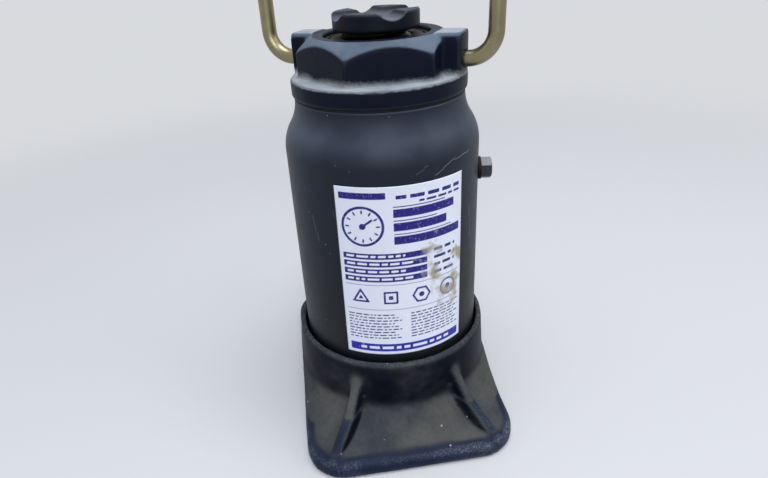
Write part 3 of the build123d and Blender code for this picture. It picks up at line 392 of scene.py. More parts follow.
for (start_x, start_z), (end_x, end_z), strength in tube_scratches:
    run = np.array([end_x - start_x, 0, end_z - start_z])
    length = np.linalg.norm(run)
    from_start = add_node(tree, "VectorMath", {0: place_of, 1: (start_x, 0, start_z)}, out="Vector",
                          operation="SUBTRACT")
    down = add_node(tree, "VectorMath", {0: from_start, 1: tuple(run / length**2)}, out="Value",
                    operation="DOT_PRODUCT")
    square = (-run[2] / length, 0, run[0] / length)
    beside = add_node(tree, "VectorMath", {0: from_start, 1: square}, out="Value", operation="DOT_PRODUCT")
    beside = add_node(tree, "Math", {0: wander, 1: scratch_wander, 2: beside}, operation="MULTIPLY_ADD")
    beside = add_node(tree, "Math", {0: beside, 1: scratch_wander / 2}, operation="SUBTRACT")
    beside = add_node(tree, "Math", {0: beside}, operation="ABSOLUTE")
    line = add_node(tree, "MapRange", {"Value": beside, "From Min": scratch_width,
                                       "From Max": scratch_width / 2})
    middle_part = add_node(tree, "Math", {0: down, 1: 0.5}, operation="SUBTRACT")
    middle_part = add_node(tree, "Math", {0: middle_part}, operation="ABSOLUTE")
    ends = add_node(tree, "MapRange", {"Value": middle_part, "From Min": 0.5, "From Max": 0.4,
                                       "To Max": strength})
    line = add_node(tree, "Math", {0: line, 1: ends}, operation="MULTIPLY")
    line = add_node(tree, "Math", {0: line, 1: on_front}, operation="MULTIPLY")
    flecked = add_node(tree, "Mix", {0: line, 6: flecked, 7: linear("#8d9197")}, **colour_mix)
gloss = add_node(tree, "MapRange", {"Value": fine, "To Min": 0.36, "To Max": 0.52})
peel = add_node(tree, "TexNoise", {"Vector": place_of, "Scale": 1 / 0.002, "Detail": 3.0}, out="Fac")
orange_peel = add_node(tree, "Bump", {"Height": peel, "Strength": 0.12, "Distance": 0.0003}, out="Normal")
connect(tree, shader, Base_Color=flecked, Roughness=gloss, Normal=orange_peel)
tube = new_piece("reservoir_shell", tube_mesh, enamel, "jack_body")
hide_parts("reservoir_tube")

# Data plate: a sheet of coated paper glued round the tube's front, printed in one violet-blue ink. The print
# is a plain table, a dial, bars and simple figures. Oil and hands have stained it.
label_low = 0.0625
label_high = 0.165
label_left = math.radians(-36)
label_right = math.radians(39.5)
label_thickness = 0.00012
label_grip = 0.00005
label_rows = 188
label_columns = 132
print_edge = 33.2
print_band = (2.0, 7.2)
figure_height = 38.2
dial_centre = (-21.5, 81.0)


def box_distance(across, up, left, right, bottom, top):
    """Distance to a rectangle's outline, negative inside: the larger of how far a point is past its sides
    and past its ends."""
    aside = np.abs(across - (left + right) / 2) - (right - left) / 2
    return np.maximum(aside, np.abs(up - (bottom + top) / 2) - (top - bottom) / 2)


def bar_row(across, up, left, right, bottom, top, seed):
    """Distance to a row of short bars with gaps between them. A bar is 1.4 to 5 times as long as it is tall,
    at random."""
    far_off = 9.0
    chance = np.random.default_rng(seed)
    nearest = np.full(across.shape, far_off)
    tall = top - bottom
    start = left
    while start < right:
        end = min(start + tall * chance.uniform(1.4, 5.0), right)
        nearest = np.minimum(nearest, box_distance(across, up, start, end, bottom, top))
        start = end + tall * 0.9
    return nearest


def regular(across, up, centre, radius, sides):
    """Distance to a regular polygon, negative inside: the largest of the distances past its sides."""
    turn = np.arange(sides) * 2 * np.pi / sides - np.pi / 2
    gaps = [(across - centre[0]) * np.cos(t) + (up - centre[1]) * np.sin(t) for t in turn]
    return np.max(gaps, axis=0) - radius * np.cos(np.pi / sides)


def printed(across, up):
    """Distance in millimetres to the nearest printed shape, negative inside one. Places are millimetres to
    the right of the sheet's middle and up from its lower edge."""
    shapes = []
    band = box_distance(across, up, -print_edge, print_edge, *print_band)
    shapes.append(np.maximum(band, -bar_row(across, up, -27, 26, 3.7, 5.5, 11)))
    for line in range(9):
        bottom = 11.0 + 1.95 * line
        shapes.append(bar_row(across, up, -33, -3 - 2 * (line % 3), bottom, bottom + 0.8, 20 + line))
        shapes.append(bar_row(across, up, 2, 33 - 3 * (line % 2), bottom, bottom + 0.8, 40 + line))
    shapes.append(box_distance(across, up, -print_edge, print_edge, 30.2, 30.7))
    figures = ((-25, 3), (-8.5, 4), (8.5, 6), (25, 24))
    for centre, sides in figures:
        form = regular(across, up, (centre, figure_height), 4.8, sides)
        shapes.append(np.abs(form) - 0.55)
        shapes.append(regular(across, up, (centre, figure_height), 1.7, sides))
    shapes.append(box_distance(across, up, -print_edge, print_edge, 46.0, 46.5))
    for line in range(4):
        bottom = 48.2 + 4.6 * line
        row = box_distance(across, up, -print_edge, 12, bottom, bottom + 3.4)
        left_out = bar_row(across, up, -31.5, 4 - 4 * (line % 2), bottom + 1.1, bottom + 2.4, 60 + line)
        shapes.append(np.maximum(row, -left_out))
        shapes.append(bar_row(across, up, 16, 30, bottom + 0.9, bottom + 2.6, 70 + line))
    right_of = across - dial_centre[0]
    over = up - dial_centre[1]
    dial = np.hypot(right_of, over)
    bearing = np.arctan2(over, right_of)
    shapes.append(np.abs(dial - 10.6) - 0.7)
    tick = np.abs((bearing / np.radians(30) + 0.5) % 1 - 0.5) * np.radians(30) * dial - 0.45
    shapes.append(np.maximum(tick, np.maximum(dial - 9.2, 7.0 - dial)))
    pointer = np.abs(right_of * 0.6 - over * 0.8) - 0.6
    shapes.append(np.maximum(pointer, np.maximum(dial - 6.6, -right_of - 1.5)))
    shapes.append(dial - 1.7)
    for line, end in enumerate((print_edge, 24.0, 29.0)):
        bottom = 70.5 + 7.6 * line
        shapes.append(box_distance(across, up, -5.5, end, bottom, bottom + 4.6))
        shapes.append(box_distance(across, up, -5.5, end - 6, bottom + 5.5, bottom + 6.1))
    shapes.append(bar_row(across, up, -4, 33, 95.6, 97.6, 90))
    shapes.append(bar_row(across, up, 8, 33, 92.9, 94.1, 91))
    shapes.append(box_distance(across, up, -print_edge, -9, 96.0, 99.5))
    return np.min(shapes, axis=0)


row_share = np.concatenate([np.linspace(0, 1, label_rows), np.linspace(1, 0, label_rows), [0]])[:, None]
outside = np.concatenate([np.ones(label_rows), np.zeros(label_rows), [1]])[:, None]
column_share = np.linspace(0, 1, label_columns)[None, :]
azimuth = label_left + (label_right - label_left) * column_share
height = label_low + (label_high - label_low) * row_share
inner_columns = (column_share > 0) & (column_share < 1)
lift = np.where(inner_columns, np.where(outside > 0, label_thickness, -label_grip), 0)
label_mesh = surface("label", around(tube_radius + out_of_round(azimuth, height) + lift, azimuth, height))
place = places(label_mesh)
across = np.arctan2(place[:, 0], -place[:, 1]) * tube_radius * 1000
across -= (label_left + label_right) / 2 * tube_radius * 1000
up = (place[:, 2] - label_low) * 1000
label_mesh.attributes.new("ink", "FLOAT", "POINT").data.foreach_set("value", printed(across, up))
label_mesh.attributes.new("up", "FLOAT", "POINT").data.foreach_set("value", up)

# Offset print on coated paper: faintly glossy, with crisp violet-blue ink that is rubbed thin in spots and
# brighter in the bottom band, and pale brown oil stains on its right half. Each stain is a place and how
# far it reaches.
label_stains = (
    ((0.0155, -0.0517, 0.127), 0.006),
    ((0.0165, -0.0514, 0.112), 0.005),
    ((0.0262, -0.0472, 0.098), 0.009),
    ((0.0315, -0.0438, 0.118), 0.008),
)
printed_paper, tree, shader = new_material("printed_coated_paper", IOR=1.45)
place_of = add_node(tree, "TexCoord", out="Object")
fine = add_node(tree, "TexNoise", {"Vector": place_of, "Scale": 1 / 0.0012, "Detail": 4.0}, out="Fac")
smear, paper = mottled(tree, place_of, 0.006, 6.0, "#e2ebfb", "#eff4fd")
patches = []
for spot, reach in label_stains:
    far = add_node(tree, "VectorMath", {0: place_of, 1: spot}, out="Value", operation="DISTANCE")
    ragged = add_node(tree, "Math", {0: smear, 1: -6.5 * reach, 2: far}, operation="MULTIPLY_ADD")
    patches.append(add_node(tree, "MapRange", {"Value": ragged, "From Min": -2.2 * reach,
                                               "From Max": -3.6 * reach}))
stain = patches[0]
for patch in patches[1:]:
    stain = add_node(tree, "Math", {0: stain, 1: patch}, operation="MAXIMUM")
stained = add_node(tree, "Mix", {0: stain, 6: paper, 7: linear("#aaa28e")}, **colour_mix)
ink_here = add_node(tree, "Attribute", out="Fac", attribute_name="ink")
solid_ink = add_node(tree, "MapRange", {"Value": ink_here, "From Min": 0.14, "From Max": -0.14})
held = add_node(tree, "MapRange", {"Value": fine, "From Min": 0.28, "From Max": 0.42, "To Min": 0.75})
ink_share = add_node(tree, "Math", {0: solid_ink, 1: held}, operation="MULTIPLY")
rub = add_node(tree, "MapRange", {"Value": stain, "From Max": 1.2, "To Min": 1.0, "To Max": 0.25})
ink_left = add_node(tree, "Math", {0: ink_share, 1: rub}, operation="MULTIPLY")
up_here = add_node(tree, "Attribute", out="Fac", attribute_name="up")
in_band = add_node(tree, "MapRange", {"Value": up_here, "From Min": print_band[1] + 1.3,
                                      "From Max": print_band[1] + 0.6})
ink = add_node(tree, "Mix", {0: in_band, 6: linear("#140c78"), 7: linear("#1f13a6")}, **colour_mix)
inked = add_node(tree, "Mix", {0: ink_left, 6: stained, 7: ink}, **colour_mix)
gloss = add_node(tree, "MapRange", {"Value": smear, "To Min": 0.35, "To Max": 0.55})
connect(tree, shader, Base_Color=inked, Roughness=gloss)
new_piece("data_plate", label_mesh, printed_paper, "jack_body")

# Head nut: forged and turned steel with a crowned hexagon and two ears, dipped in half-matt black and left
# to the dust of a shelf. The dust is thick on the flange, thin on the crown, and has a ragged edge where it
# was brushed off. The thin film on faces that lean up also carries a painted blue sky sheen, and the proud
# edges a painted highlight.
nut_voxel = 0.00085
nut_lump = 0.006
nut_lump_height = 0.00006
mouth_ring_radii = (0.0334, 0.0346)
dust_top_heights = (0.2108, 0.2066)
dust_foot_heights = (0.2074, 0.2080)

nut_mesh, place, outward = recast("head_nut", nut_voxel, 2)
raise_skin(nut_mesh, place, outward, lumps(place, nut_lump, 3) * nut_lump_height, "head_nut")

nut_black, tree, shader = new_material("black_dipped_steel", IOR=1.45, Specular_IOR_Level=0.1)
place_of = add_node(tree, "TexCoord", out="Object")
facing = add_node(tree, "SeparateXYZ", {0: add_node(tree, "TexCoord", out="Normal")}, out="Z")
height = add_node(tree, "SeparateXYZ", {0: place_of}, out="Z")
relief = add_node(tree, "Attribute", out="Fac", attribute_name="relief")
smear, paint = mottled(tree, place_of, 0.02, 5.0, "#050814", "#141a2c")
speckle = add_node(tree, "TexNoise", {"Vector": place_of, "Scale": 1 / 0.0035, "Detail": 5.0}, out="Fac")
in_plan = add_node(tree, "VectorMath", {0: place_of, 1: (1, 1, 0)}, out="Vector", operation="MULTIPLY")
from_axis = add_node(tree, "VectorMath", {0: in_plan}, out="Value", operation="LENGTH")
past_ring = add_node(tree, "MapRange", {"Value": from_axis, "From Min": mouth_ring_radii[0],
                                        "From Max": mouth_ring_radii[1]})
leaning = add_node(tree, "MapRange", {"Value": facing, "From Min": 0.2, "From Max": 0.7},
                   interpolation_type="SMOOTHSTEP")
patchy = add_node(tree, "MapRange", {"Value": smear, "From Min": 0.1, "From Max": 0.55})
# Faces that lean up get a pale blue-grey film: thin dust, and a painted sky sheen.
film = add_node(tree, "Math", {0: leaning, 1: patchy}, operation="MULTIPLY")
film = add_node(tree, "Math", {0: film, 1: past_ring}, operation="MULTIPLY")
film_dust_and_sheen = add_node(tree, "Mix", {0: film, 6: paint, 7: linear("#5f6c7b")}, **colour_mix)
spray = add_node(tree, "TexNoise", {"Vector": place_of, "Scale": 1 / 0.0011, "Detail": 3.0}, out="Fac")
climb = add_node(tree, "Math", {0: smear, 1: -0.006, 2: height}, operation="MULTIPLY_ADD")
density = add_node(tree, "MapRange", {"Value": climb, "From Min": dust_top_heights[0],
                                      "From Max": dust_top_heights[1]})
sprayed = add_node(tree, "Math", {0: spray, 1: 0.8, 2: density}, operation="MULTIPLY_ADD")
not_high = add_node(tree, "MapRange", {"Value": sprayed, "From Min": 0.6, "From Max": 1.35})
ragged = add_node(tree, "Math", {0: speckle, 1: -0.0022, 2: height}, operation="MULTIPLY_ADD")
not_low = add_node(tree, "MapRange", {"Value": ragged, "From Min": dust_foot_heights[0],
                                      "From Max": dust_foot_heights[1]})
bank = add_node(tree, "Math", {0: not_high, 1: not_low}, operation="MULTIPLY")
thin = add_node(tree, "MapRange", {"Value": smear, "From Min": 0.3, "From Max": 0.6, "To Min": 0.55})
bank = add_node(tree, "Math", {0: bank, 1: thin}, operation="MULTIPLY")
banked = add_node(tree, "Mix", {0: bank, 6: film_dust_and_sheen, 7: linear("#858a8a")}, **colour_mix)
level = add_node(tree, "MapRange", {"Value": facing, "From Min": 0.86, "From Max": 0.97, "To Max": 0.9})
flat_dust = add_node(tree, "Math", {0: level, 1: past_ring}, operation="MULTIPLY")
flat_dust = add_node(tree, "Math", {0: flat_dust, 1: patchy}, operation="MULTIPLY")
banked = add_node(tree, "Mix", {0: flat_dust, 6: banked, 7: linear("#9ba2aa")}, **colour_mix)
# Proud edges painted lighter: a painted highlight.
proud = add_node(tree, "MapRange", {"Value": relief, "From Min": 0.35, "From Max": 0.8, "To Max": 0.4})
edge_highlighted = add_node(tree, "Mix", {0: proud, 6: banked, 7: linear("#4c5561")}, **colour_mix)
matt = add_node(tree, "MapRange", {"Value": film, "To Min": 0.42, "To Max": 0.85})
grain = add_node(tree, "Bump", {"Height": speckle, "Strength": 0.25, "Distance": 0.0004}, out="Normal")
connect(tree, shader, Base_Color=edge_highlighted, Roughness=matt, Normal=grain)
nut = new_piece("crowned_nut", nut_mesh, nut_black, "jack_body")
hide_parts("head_nut")

# Rubber: the flat gaskets at the tube's ends, the wiper and seal round the ram, the piston's cup, and the
# packings of the pump and the release valve. Moulded nitrile, dull black with a fine bloom.
rubber, tree, shader = new_material("moulded_nitrile_rubber", IOR=1.5, Specular_IOR_Level=0.2)
place_of = add_node(tree, "TexCoord", out="Object")
bloom, black = mottled(tree, place_of, 0.003, 5.0, "#08090c", "#131418")
dull = add_node(tree, "MapRange", {"Value": bloom, "To Min": 0.55, "To Max": 0.8})
connect(tree, shader, Base_Color=black, Roughness=dull)


def dress(material, *nodes):
    """Gives those CAD nodes that material."""
    for name in nodes:
        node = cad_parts[name]
        if not node.material_slots:
            node.data.materials.append(material)
        for slot in node.material_slots:
            slot.material = material


dress(rubber, "tube_lower_gasket", "tube_upper_gasket", "ram_wiper", "ram_seal", "piston_cup",
      "pump_packing", "release_packing")

# Filler plug: a small hexagon screw in the tube's wall, oil-blacked and dusty on top, on a washer of soft
# copper like the one under the pump and the ring under the pressure cylinder, all tarnished dark brown.
oil_black, tree, shader = new_material("oil_blacked_steel", IOR=1.5, Specular_IOR_Level=0.3)
place_of = add_node(tree, "TexCoord", out="Object")
facing = add_node(tree, "SeparateXYZ", {0: add_node(tree, "TexCoord", out="Normal")}, out="Z")
mottle, black = mottled(tree, place_of, 0.003, 5.0, "#1b1d21", "#3c3f44")
lying = add_node(tree, "MapRange", {"Value": facing, "From Min": 0.5, "From Max": 0.8, "To Max": 0.85})
paler_on_top = add_node(tree, "Mix", {0: lying, 6: black, 7: linear("#8a8c8c")}, **colour_mix)
matt = add_node(tree, "MapRange", {"Value": mottle, "To Min": 0.35, "To Max": 0.6})
connect(tree, shader, Base_Color=paler_on_top, Roughness=matt)
dress(oil_black, "filler_plug")

copper, tree, shader = new_material("annealed_copper", Metallic=1.0)
place_of = add_node(tree, "TexCoord", out="Object")
tarnish, brown = mottled(tree, place_of, 0.002, 5.0, "#15110f", "#33271f")
matt = add_node(tree, "MapRange", {"Value": tarnish, "To Min": 0.35, "To Max": 0.6})
connect(tree, shader, Base_Color=brown, Roughness=matt)
dress(copper, "filler_washer", "cylinder_gasket", "pump_washer")

# Ram: a thick ground tube of alloy steel that slides in the head nut, bright and oily along its side, and
# rusty brown with caked dust on the end that looks out of the nut's mouth.
ram_end_heights = (0.2262, 0.2270)

ground_steel, tree, shader = new_material("ground_alloy_steel", Metallic=1.0)
place_of = add_node(tree, "TexCoord", out="Object")
height = add_node(tree, "SeparateXYZ", {0: place_of}, out="Z")
drawn_out = add_node(tree, "VectorMath", {0: place_of, 1: (1, 1, 0.08)}, out="Vector", operation="MULTIPLY")
scuff, bright = mottled(tree, drawn_out, 0.005, 4.0, "#828485", "#9b9c9c")
cake, crust = mottled(tree, place_of, 0.003, 6.0, "#16110e", "#4c3f33")
at_top = add_node(tree, "MapRange", {"Value": height, "From Min": ram_end_heights[0],
                                     "From Max": ram_end_heights[1]})
rusted = add_node(tree, "Mix", {0: at_top, 6: bright, 7: crust}, **colour_mix)
bare = add_node(tree, "MapRange", {"Value": at_top, "To Min": 1.0, "To Max": 0.0})
matt = add_node(tree, "MapRange", {"Value": at_top, "To Min": 0.24, "To Max": 0.85})
connect(tree, shader, Base_Color=rusted, Metallic=bare, Roughness=matt)
dress(ground_steel, "ram")

# Lift screw: turned from one bar, with a round trapezoidal thread of 6 mm pitch under the saddle. The thread
# stops at a plain journal for the stop ring. It is oiled and half bright, and dark brown where it comes out
# of the ram: old grease, and painted shade in the gap under the saddle.
screw_low = 0.0925
screw_high = 0.2312
screw_crest = 0.0179
screw_root = 0.0152
screw_pitch = 0.006
thread_flank = (0.32, 0.62)
thread_runout = 0.003
thread_chamfer = 0.0008
journal_low = 0.0837
journal_radius = 0.008
journal_chamfer = 0.0006
rows_per_turn = 16
screw_columns = 72
grease_and_shade_heights = (0.2235, 0.2265)

turn_count = (screw_high - screw_low) / screw_pitch
row = np.arange(math.ceil(rows_per_turn * (turn_count + 1)) + 1)[:, None] / rows_per_turn
share = np.linspace(0, 1, screw_columns + 1)[None, :]
height = np.clip(screw_low + screw_pitch * (row - 1 + share), screw_low, screw_high)
flank = np.abs(row % 1 - 0.5) * 2
profile = eased(flank, *thread_flank)
runout = eased(height, screw_low, screw_low + thread_runout)
runout *= eased(-height, -screw_high, -screw_high + thread_chamfer)
radius = screw_root + (screw_crest - screw_root) * profile * runout
foot = np.array([[0, journal_low], [journal_radius - journal_chamfer, journal_low],
                 [journal_radius, journal_low + journal_chamfer], [journal_radius, screw_low]])[:, :, None]
foot = np.repeat(foot, screw_columns + 1, axis=2)
radius = np.concatenate([foot[:, 0], radius, np.zeros((1, screw_columns + 1))])
height = np.concatenate([foot[:, 1], height, np.full((1, screw_columns + 1), screw_high)])
screw_mesh = surface("screw", around(radius, share * 2 * np.pi, height))

turned_steel, tree, shader = new_material("turned_oiled_steel", Metallic=1.0)
place_of = add_node(tree, "TexCoord", out="Object")
film, grey = mottled(tree, place_of, 0.005, 5.0, "#4b4c4e", "#77797c")
height = add_node(tree, "SeparateXYZ", {0: place_of}, out="Z")
# Dark brown above the ram's top: old grease, and painted shade in the gap under the saddle.
neck = add_node(tree, "MapRange", {"Value": height, "From Min": grease_and_shade_heights[0],
                                   "From Max": grease_and_shade_heights[1]})
greased_and_shaded = add_node(tree, "Mix", {0: neck, 6: grey, 7: linear("#1d1916")}, **colour_mix)
gloss = add_node(tree, "MapRange", {"Value": film, "To Min": 0.3, "To Max": 0.5})
connect(tree, shader, Base_Color=greased_and_shaded, Roughness=gloss)
screw = new_piece("extension_screw", screw_mesh, turned_steel, "lift_screw")
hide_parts("lift_screw")

# Saddle: the screw's head, with two crossing round grooves and a centre hole, blacked and half matt. Faces
# that lean up are painted a lighter blue as a sky sheen, and the floors of its grooves and its proud edges
# grey as painted highlights.
saddle_voxel = 0.00036
saddle_foot = 0.23095
saddle_lump = 0.004
saddle_lump_height = 0.00003
groove_heights = (0.2394, 0.2385)

saddle_mesh, place, outward = recast("lift_screw", saddle_voxel, 1, above=saddle_foot)
raise_skin(saddle_mesh, place, outward, lumps(place, saddle_lump, 5) * saddle_lump_height, "lift_screw")

saddle_black, tree, shader = new_material("black_oxided_steel", IOR=1.5, Specular_IOR_Level=0.14)
place_of = add_node(tree, "TexCoord", out="Object")
facing = add_node(tree, "SeparateXYZ", {0: add_node(tree, "TexCoord", out="Normal")}, out="Z")
height = add_node(tree, "SeparateXYZ", {0: place_of}, out="Z")
relief = add_node(tree, "Attribute", out="Fac", attribute_name="relief")
mottle, black = mottled(tree, place_of, 0.004, 6.0, "#03050e", "#0c1220")
lying = add_node(tree, "MapRange", {"Value": facing, "From Min": 0.75, "From Max": 1.0})
# Faces that lean up painted a lighter blue: a painted sky sheen.
paler_on_top = add_node(tree, "Mix", {0: lying, 6: black, 7: linear("#1c2434")}, **colour_mix)
# Groove floors that face up painted grey: a painted highlight.
sunk = add_node(tree, "MapRange", {"Value": height, "From Min": groove_heights[0],
                                   "From Max": groove_heights[1]})
grooved = add_node(tree, "Math", {0: sunk, 1: lying}, operation="MULTIPLY")
bare = add_node(tree, "Mix", {0: grooved, 6: paler_on_top, 7: linear("#565d68")}, **colour_mix)
# Proud edges painted lighter: a painted highlight.
proud = add_node(tree, "MapRange", {"Value": relief, "From Min": 0.3, "From Max": 0.8, "To Max": 0.6})
edge_highlighted = add_node(tree, "Mix", {0: proud, 6: bare, 7: linear("#4a5364")}, **colour_mix)
matt = add_node(tree, "MapRange", {"Value": mottle, "To Min": 0.35, "To Max": 0.55})
connect(tree, shader, Base_Color=edge_highlighted, Roughness=matt)
saddle = new_piece("grooved_saddle", saddle_mesh, saddle_black, "lift_screw")
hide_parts("lift_screw")

# Carrying bail: round steel wire bent on formers to a bow, cranked back over the saddle's side, its ends
# sprung into the nut's ears. Zinc plate with a yellow chromate has gone a silky olive.
bail_height = 0.2165
bail_wire = 0.004
ear_turn = math.radians(-30)
ear_axis = np.array([math.cos(ear_turn), math.sin(ear_turn), 0])
rear_axis = np.array([-math.sin(ear_turn), math.cos(ear_turn), 0])
bail_slide = 0.0012
bail_corners = ((0.038, 0, 0), (0.0628, 0, 0), (0.0628, 0, 0.038), (0.0628, 0.031, 0.0795))
bail_bends = (0.0135, 0.020, 0.034)
bail_bend_points = 17
bail_around = 32


def rounded(corners, bends, points):
    """A path along straight runs whose inner corners are arcs: each arc touches both its runs, its centre
    lies on the line that halves the corner, and its points are spaced evenly in angle."""
    path = [corners[0]]
    for before, corner, after, radius in zip(corners, corners[1:], corners[2:], bends):
        back = (before - corner) / np.linalg.norm(before - corner)
        on = (after - corner) / np.linalg.norm(after - corner)
        half = math.acos(np.clip(back @ on, -1, 1)) / 2
        middle = (back + on) / np.linalg.norm(back + on)
        centre = corner + middle * radius / math.sin(half)
        start = corner + back * radius / math.tan(half) - centre
        end = corner + on * radius / math.tan(half) - centre
        sweep = math.pi - 2 * half
        share = np.linspace(0, 1, points)[:, None]
        spoke = np.sin((1 - share) * sweep) * start + np.sin(share * sweep) * end
        path.extend(centre + spoke / math.sin(sweep))
    path.append(corners[-1])
    return np.array(path)


def swept(name, path, radius, columns):
    """A round rod along a path: at each point a ring square to the path, turned on from the ring before it
    by as little as the bend needs, and a chamfered cap at both ends."""
    way = np.gradient(path, axis=0)
    way /= np.linalg.norm(way, axis=1)[:, None]
    side = [np.cross(way[0], (0.3, 0.5, 0.81))]
    for direction in way[1:]:
        side.append(side[-1] - direction * (side[-1] @ direction))
    side = np.array(side)
    side /= np.linalg.norm(side, axis=1)[:, None]
    cap = radius * 0.15
    foot, tip = path[:1], path[-1:]
    path = np.concatenate([foot, foot, foot + way[:1] * cap, path[1:-1], tip - way[-1:] * cap, tip, tip])
    size = np.concatenate([[0, radius - cap], np.full(len(path) - 4, radius), [radius - cap, 0]])
    order = np.concatenate([[0, 0], np.arange(len(way)), [len(way) - 1] * 2])
    up = np.cross(way, side)
    angle = np.linspace(0, 2 * np.pi, columns + 1)[None, :, None]
    ring = np.cos(angle) * side[order, None] + np.sin(angle) * up[order, None]
    return surface(name, path[:, None] + size[:, None, None] * ring)


right = [ear_axis * a + rear_axis * b + np.array([0, 0, c]) for a, b, c in bail_corners]
left = [rear_axis * b - ear_axis * a + np.array([0, 0, c]) for a, b, c in bail_corners[::-1]]
bail_path = rounded(np.array(right + left), bail_bends + bail_bends[::-1], bail_bend_points)
bail_path = bail_path - ear_axis * bail_slide + np.array([0, 0, bail_height])
bail_mesh = swept("bail", bail_path, bail_wire, bail_around)

chromate, tree, shader = new_material("yellow_chromated_zinc", Metallic=1.0)
place_of = add_node(tree, "TexCoord", out="Object")
patina, olive = mottled(tree, place_of, 0.012, 6.0, "#766c54", "#9c9373")
gloss = add_node(tree, "MapRange", {"Value": patina, "To Min": 0.22, "To Max": 0.42})
connect(tree, shader, Base_Color=olive, Roughness=gloss)
bail = new_piece("carrying_bail", bail_mesh, chromate, "bail")
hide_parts("bail_handle")

# Bright inner parts: the honed pressure cylinder, the piston, the hand pump's plunger and the two valve
# balls, ground to a fine finish under oil. The marks of the stones are drawn coarser than they are, to show.
honed, tree, shader = new_material("honed_hard_steel", Metallic=1.0)
place_of = add_node(tree, "TexCoord", out="Object")
streaks, bright = mottled(tree, place_of, 0.0015, 4.0, "#8d8f91", "#b4b5b6")
gloss = add_node(tree, "MapRange", {"Value": streaks, "To Min": 0.15, "To Max": 0.3})
connect(tree, shader, Base_Color=bright, Roughness=gloss)
dress(honed, "pressure_cylinder", "piston", "pump_plunger", "suction_ball", "discharge_ball")

# Plain turned and bent steel: the pump's barrel and gland, the valves' plugs, needle and spring, the
# piston's nut, the screw's stop ring, the linkage's pins and all spring clips. It is dark from oil and
# handling.
plain, tree, shader = new_material("turned_plain_steel", Metallic=1.0)
place_of = add_node(tree, "TexCoord", out="Object")
film, grey = mottled(tree, place_of, 0.004, 6.0, "#545557", "#707172")
gloss = add_node(tree, "MapRange", {"Value": film, "To Min": 0.38, "To Max": 0.5})
connect(tree, shader, Base_Color=grey, Roughness=gloss)
dress(plain, "cup_nut", "stop_ring", "stop_clip", "pump_barrel", "pump_gland", "suction_blank",
      "discharge_spring", "discharge_plug", "release_needle", "release_gland", "fulcrum_pin", "fulcrum_clip",
      "plunger_pin", "plunger_clip")

# Lever socket: a tube for the pump's lever, welded between two plate cheeks and dipped in the same enamel as
# the reservoir. The weld's toes and the plates' sawn edges are rounded by the paint.
socket_voxel = 0.0007
socket_lump = 0.005
socket_lump_height = 0.00005

socket_mesh, place, outward = recast("lever_socket", socket_voxel, 2)
raise_skin(socket_mesh, place, outward, lumps(place, socket_lump, 7) * socket_lump_height, "lever_socket")
socket = new_piece("welded_socket", socket_mesh, enamel, "lever")
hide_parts("lever_socket")

# Plain studio: a pale floor that fades into a pale background and keeps the jack's shadow, and soft lights
# above, at both sides and in front.
floor_reach = 4.0
floor_near = 0.3
floor_far = 1.0
studio_colour = "#d8dade"
floor_colour = "#bfc0c2"
floor_lift = 0.14
sky_level = 0.4

paper_floor, tree, shader = new_material("studio_paper", Roughness=0.9, Specular_IOR_Level=0.0,
                                         Emission_Color=linear(studio_colour))
place_of = add_node(tree, "TexCoord", out="Object")
away = add_node(tree, "VectorMath", {0: place_of}, out="Value", operation="LENGTH")
far = add_node(tree, "MapRange", {"Value": away, "From Min": floor_near, "From Max": floor_far},
               interpolation_type="SMOOTHSTEP")
tone = add_node(tree, "Mix", {0: far, 6: linear(floor_colour), 7: linear("#000000")}, **colour_mix)
seen = add_node(tree, "Math", {0: add_node(tree, "LightPath", out="Is Camera Ray"),
                               1: add_node(tree, "LightPath", out="Is Glossy Ray")}, operation="MAXIMUM")
lit = add_node(tree, "MapRange", {"Value": far, "To Min": floor_lift})
glow = add_node(tree, "Math", {0: seen, 1: lit}, operation="MULTIPLY")
connect(tree, shader, Base_Color=tone, Emission_Strength=glow)
floor_mesh = bpy.data.meshes.new("floor")
corners = [(x * floor_reach, y * floor_reach, 0) for x, y in ((-1, -1), (1, -1), (1, 1), (-1, 1))]
floor_mesh.from_pydata(corners, [], [(0, 1, 2, 3)])
floor_mesh.materials.append(paper_floor)
floor = bpy.data.objects.new("floor", floor_mesh)
bpy.context.scene.collection.objects.link(floor)

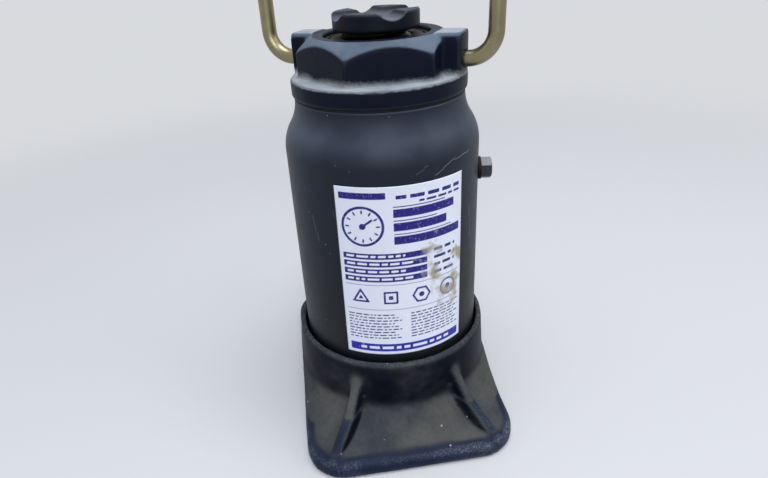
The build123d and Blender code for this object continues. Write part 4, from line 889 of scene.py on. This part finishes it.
world = bpy.data.worlds.new("studio")
bpy.context.scene.world = world
world.use_nodes = True
tree = world.node_tree
camera_ray = add_node(tree, "LightPath", out="Is Camera Ray")
glossy_ray = add_node(tree, "LightPath", out="Is Glossy Ray")
transmission_ray = add_node(tree, "LightPath", out="Is Transmission Ray")
seen = add_node(tree, "Math", {0: camera_ray, 1: glossy_ray}, operation="MAXIMUM")
seen = add_node(tree, "Math", {0: seen, 1: transmission_ray}, operation="MAXIMUM")
sky = tree.nodes["Background"]
sky.inputs["Color"].default_value = linear(studio_colour)
level = add_node(tree, "MapRange", {"Value": seen, "To Min": sky_level, "To Max": 1.0})
tree.links.new(level, sky.inputs["Strength"])


def softbox(name, place, target, size, power, colour):
    """A square area light at a place, turned to a target."""
    data = bpy.data.lights.new(name, "AREA")
    data.shape = "SQUARE"
    data.size = size
    data.energy = power
    data.color = linear(colour)[:3]
    lamp = bpy.data.objects.new(name, data)
    bpy.context.scene.collection.objects.link(lamp)
    toward = np.array(target) - np.array(place)
    lamp.location = place
    lamp.rotation_euler = (math.atan2(math.hypot(toward[0], toward[1]), -toward[2]), 0,
                           math.atan2(toward[1], toward[0]) - math.pi / 2)


middle = (0, 0, 0.12)
softbox("softbox_above", (0.1, -0.1, 1.5), middle, 1.0, 20, "#f4f7ff")
softbox("softbox_left", (-1.3, 0.1, 0.7), middle, 0.8, 1.6, "#eef3ff")
softbox("softbox_right", (1.2, -0.5, 0.9), middle, 0.9, 5, "#fbf6ee")
softbox("softbox_front", (-0.2, -1.6, 0.9), middle, 0.9, 11.5, "#f4f6ff")

# Camera, fitted to the photograph: its place over the floor, its heading, dip and roll in degrees, and its
# focal length in pixels of the frame's width.
camera_place = (-0.0433, -0.3032, 0.2696)
camera_heading = 5.73
camera_dip = 27.82
camera_roll = -3.96
focal_pixels = 561.4
frame_pixels = 768
centre_shift = (0.0235, 0.0021)
lens = bpy.data.cameras.new("camera")
lens.sensor_width = 36
lens.lens = focal_pixels * lens.sensor_width / frame_pixels
lens.shift_x, lens.shift_y = centre_shift
lens.clip_start = 0.01
camera = bpy.data.objects.new("camera", lens)
bpy.context.scene.collection.objects.link(camera)
camera.location = camera_place
camera.rotation_mode = "XYZ"
turn = [math.radians(v) for v in (camera_roll, 90 - camera_dip, -camera_heading)]
camera.rotation_euler = (
    Matrix.Rotation(turn[2], 3, "Z") @ Matrix.Rotation(turn[1], 3, "X") @ Matrix.Rotation(turn[0], 3, "Z")
).to_euler()
bpy.context.scene.camera = camera
bpy.context.scene.view_settings.view_transform = "Standard"
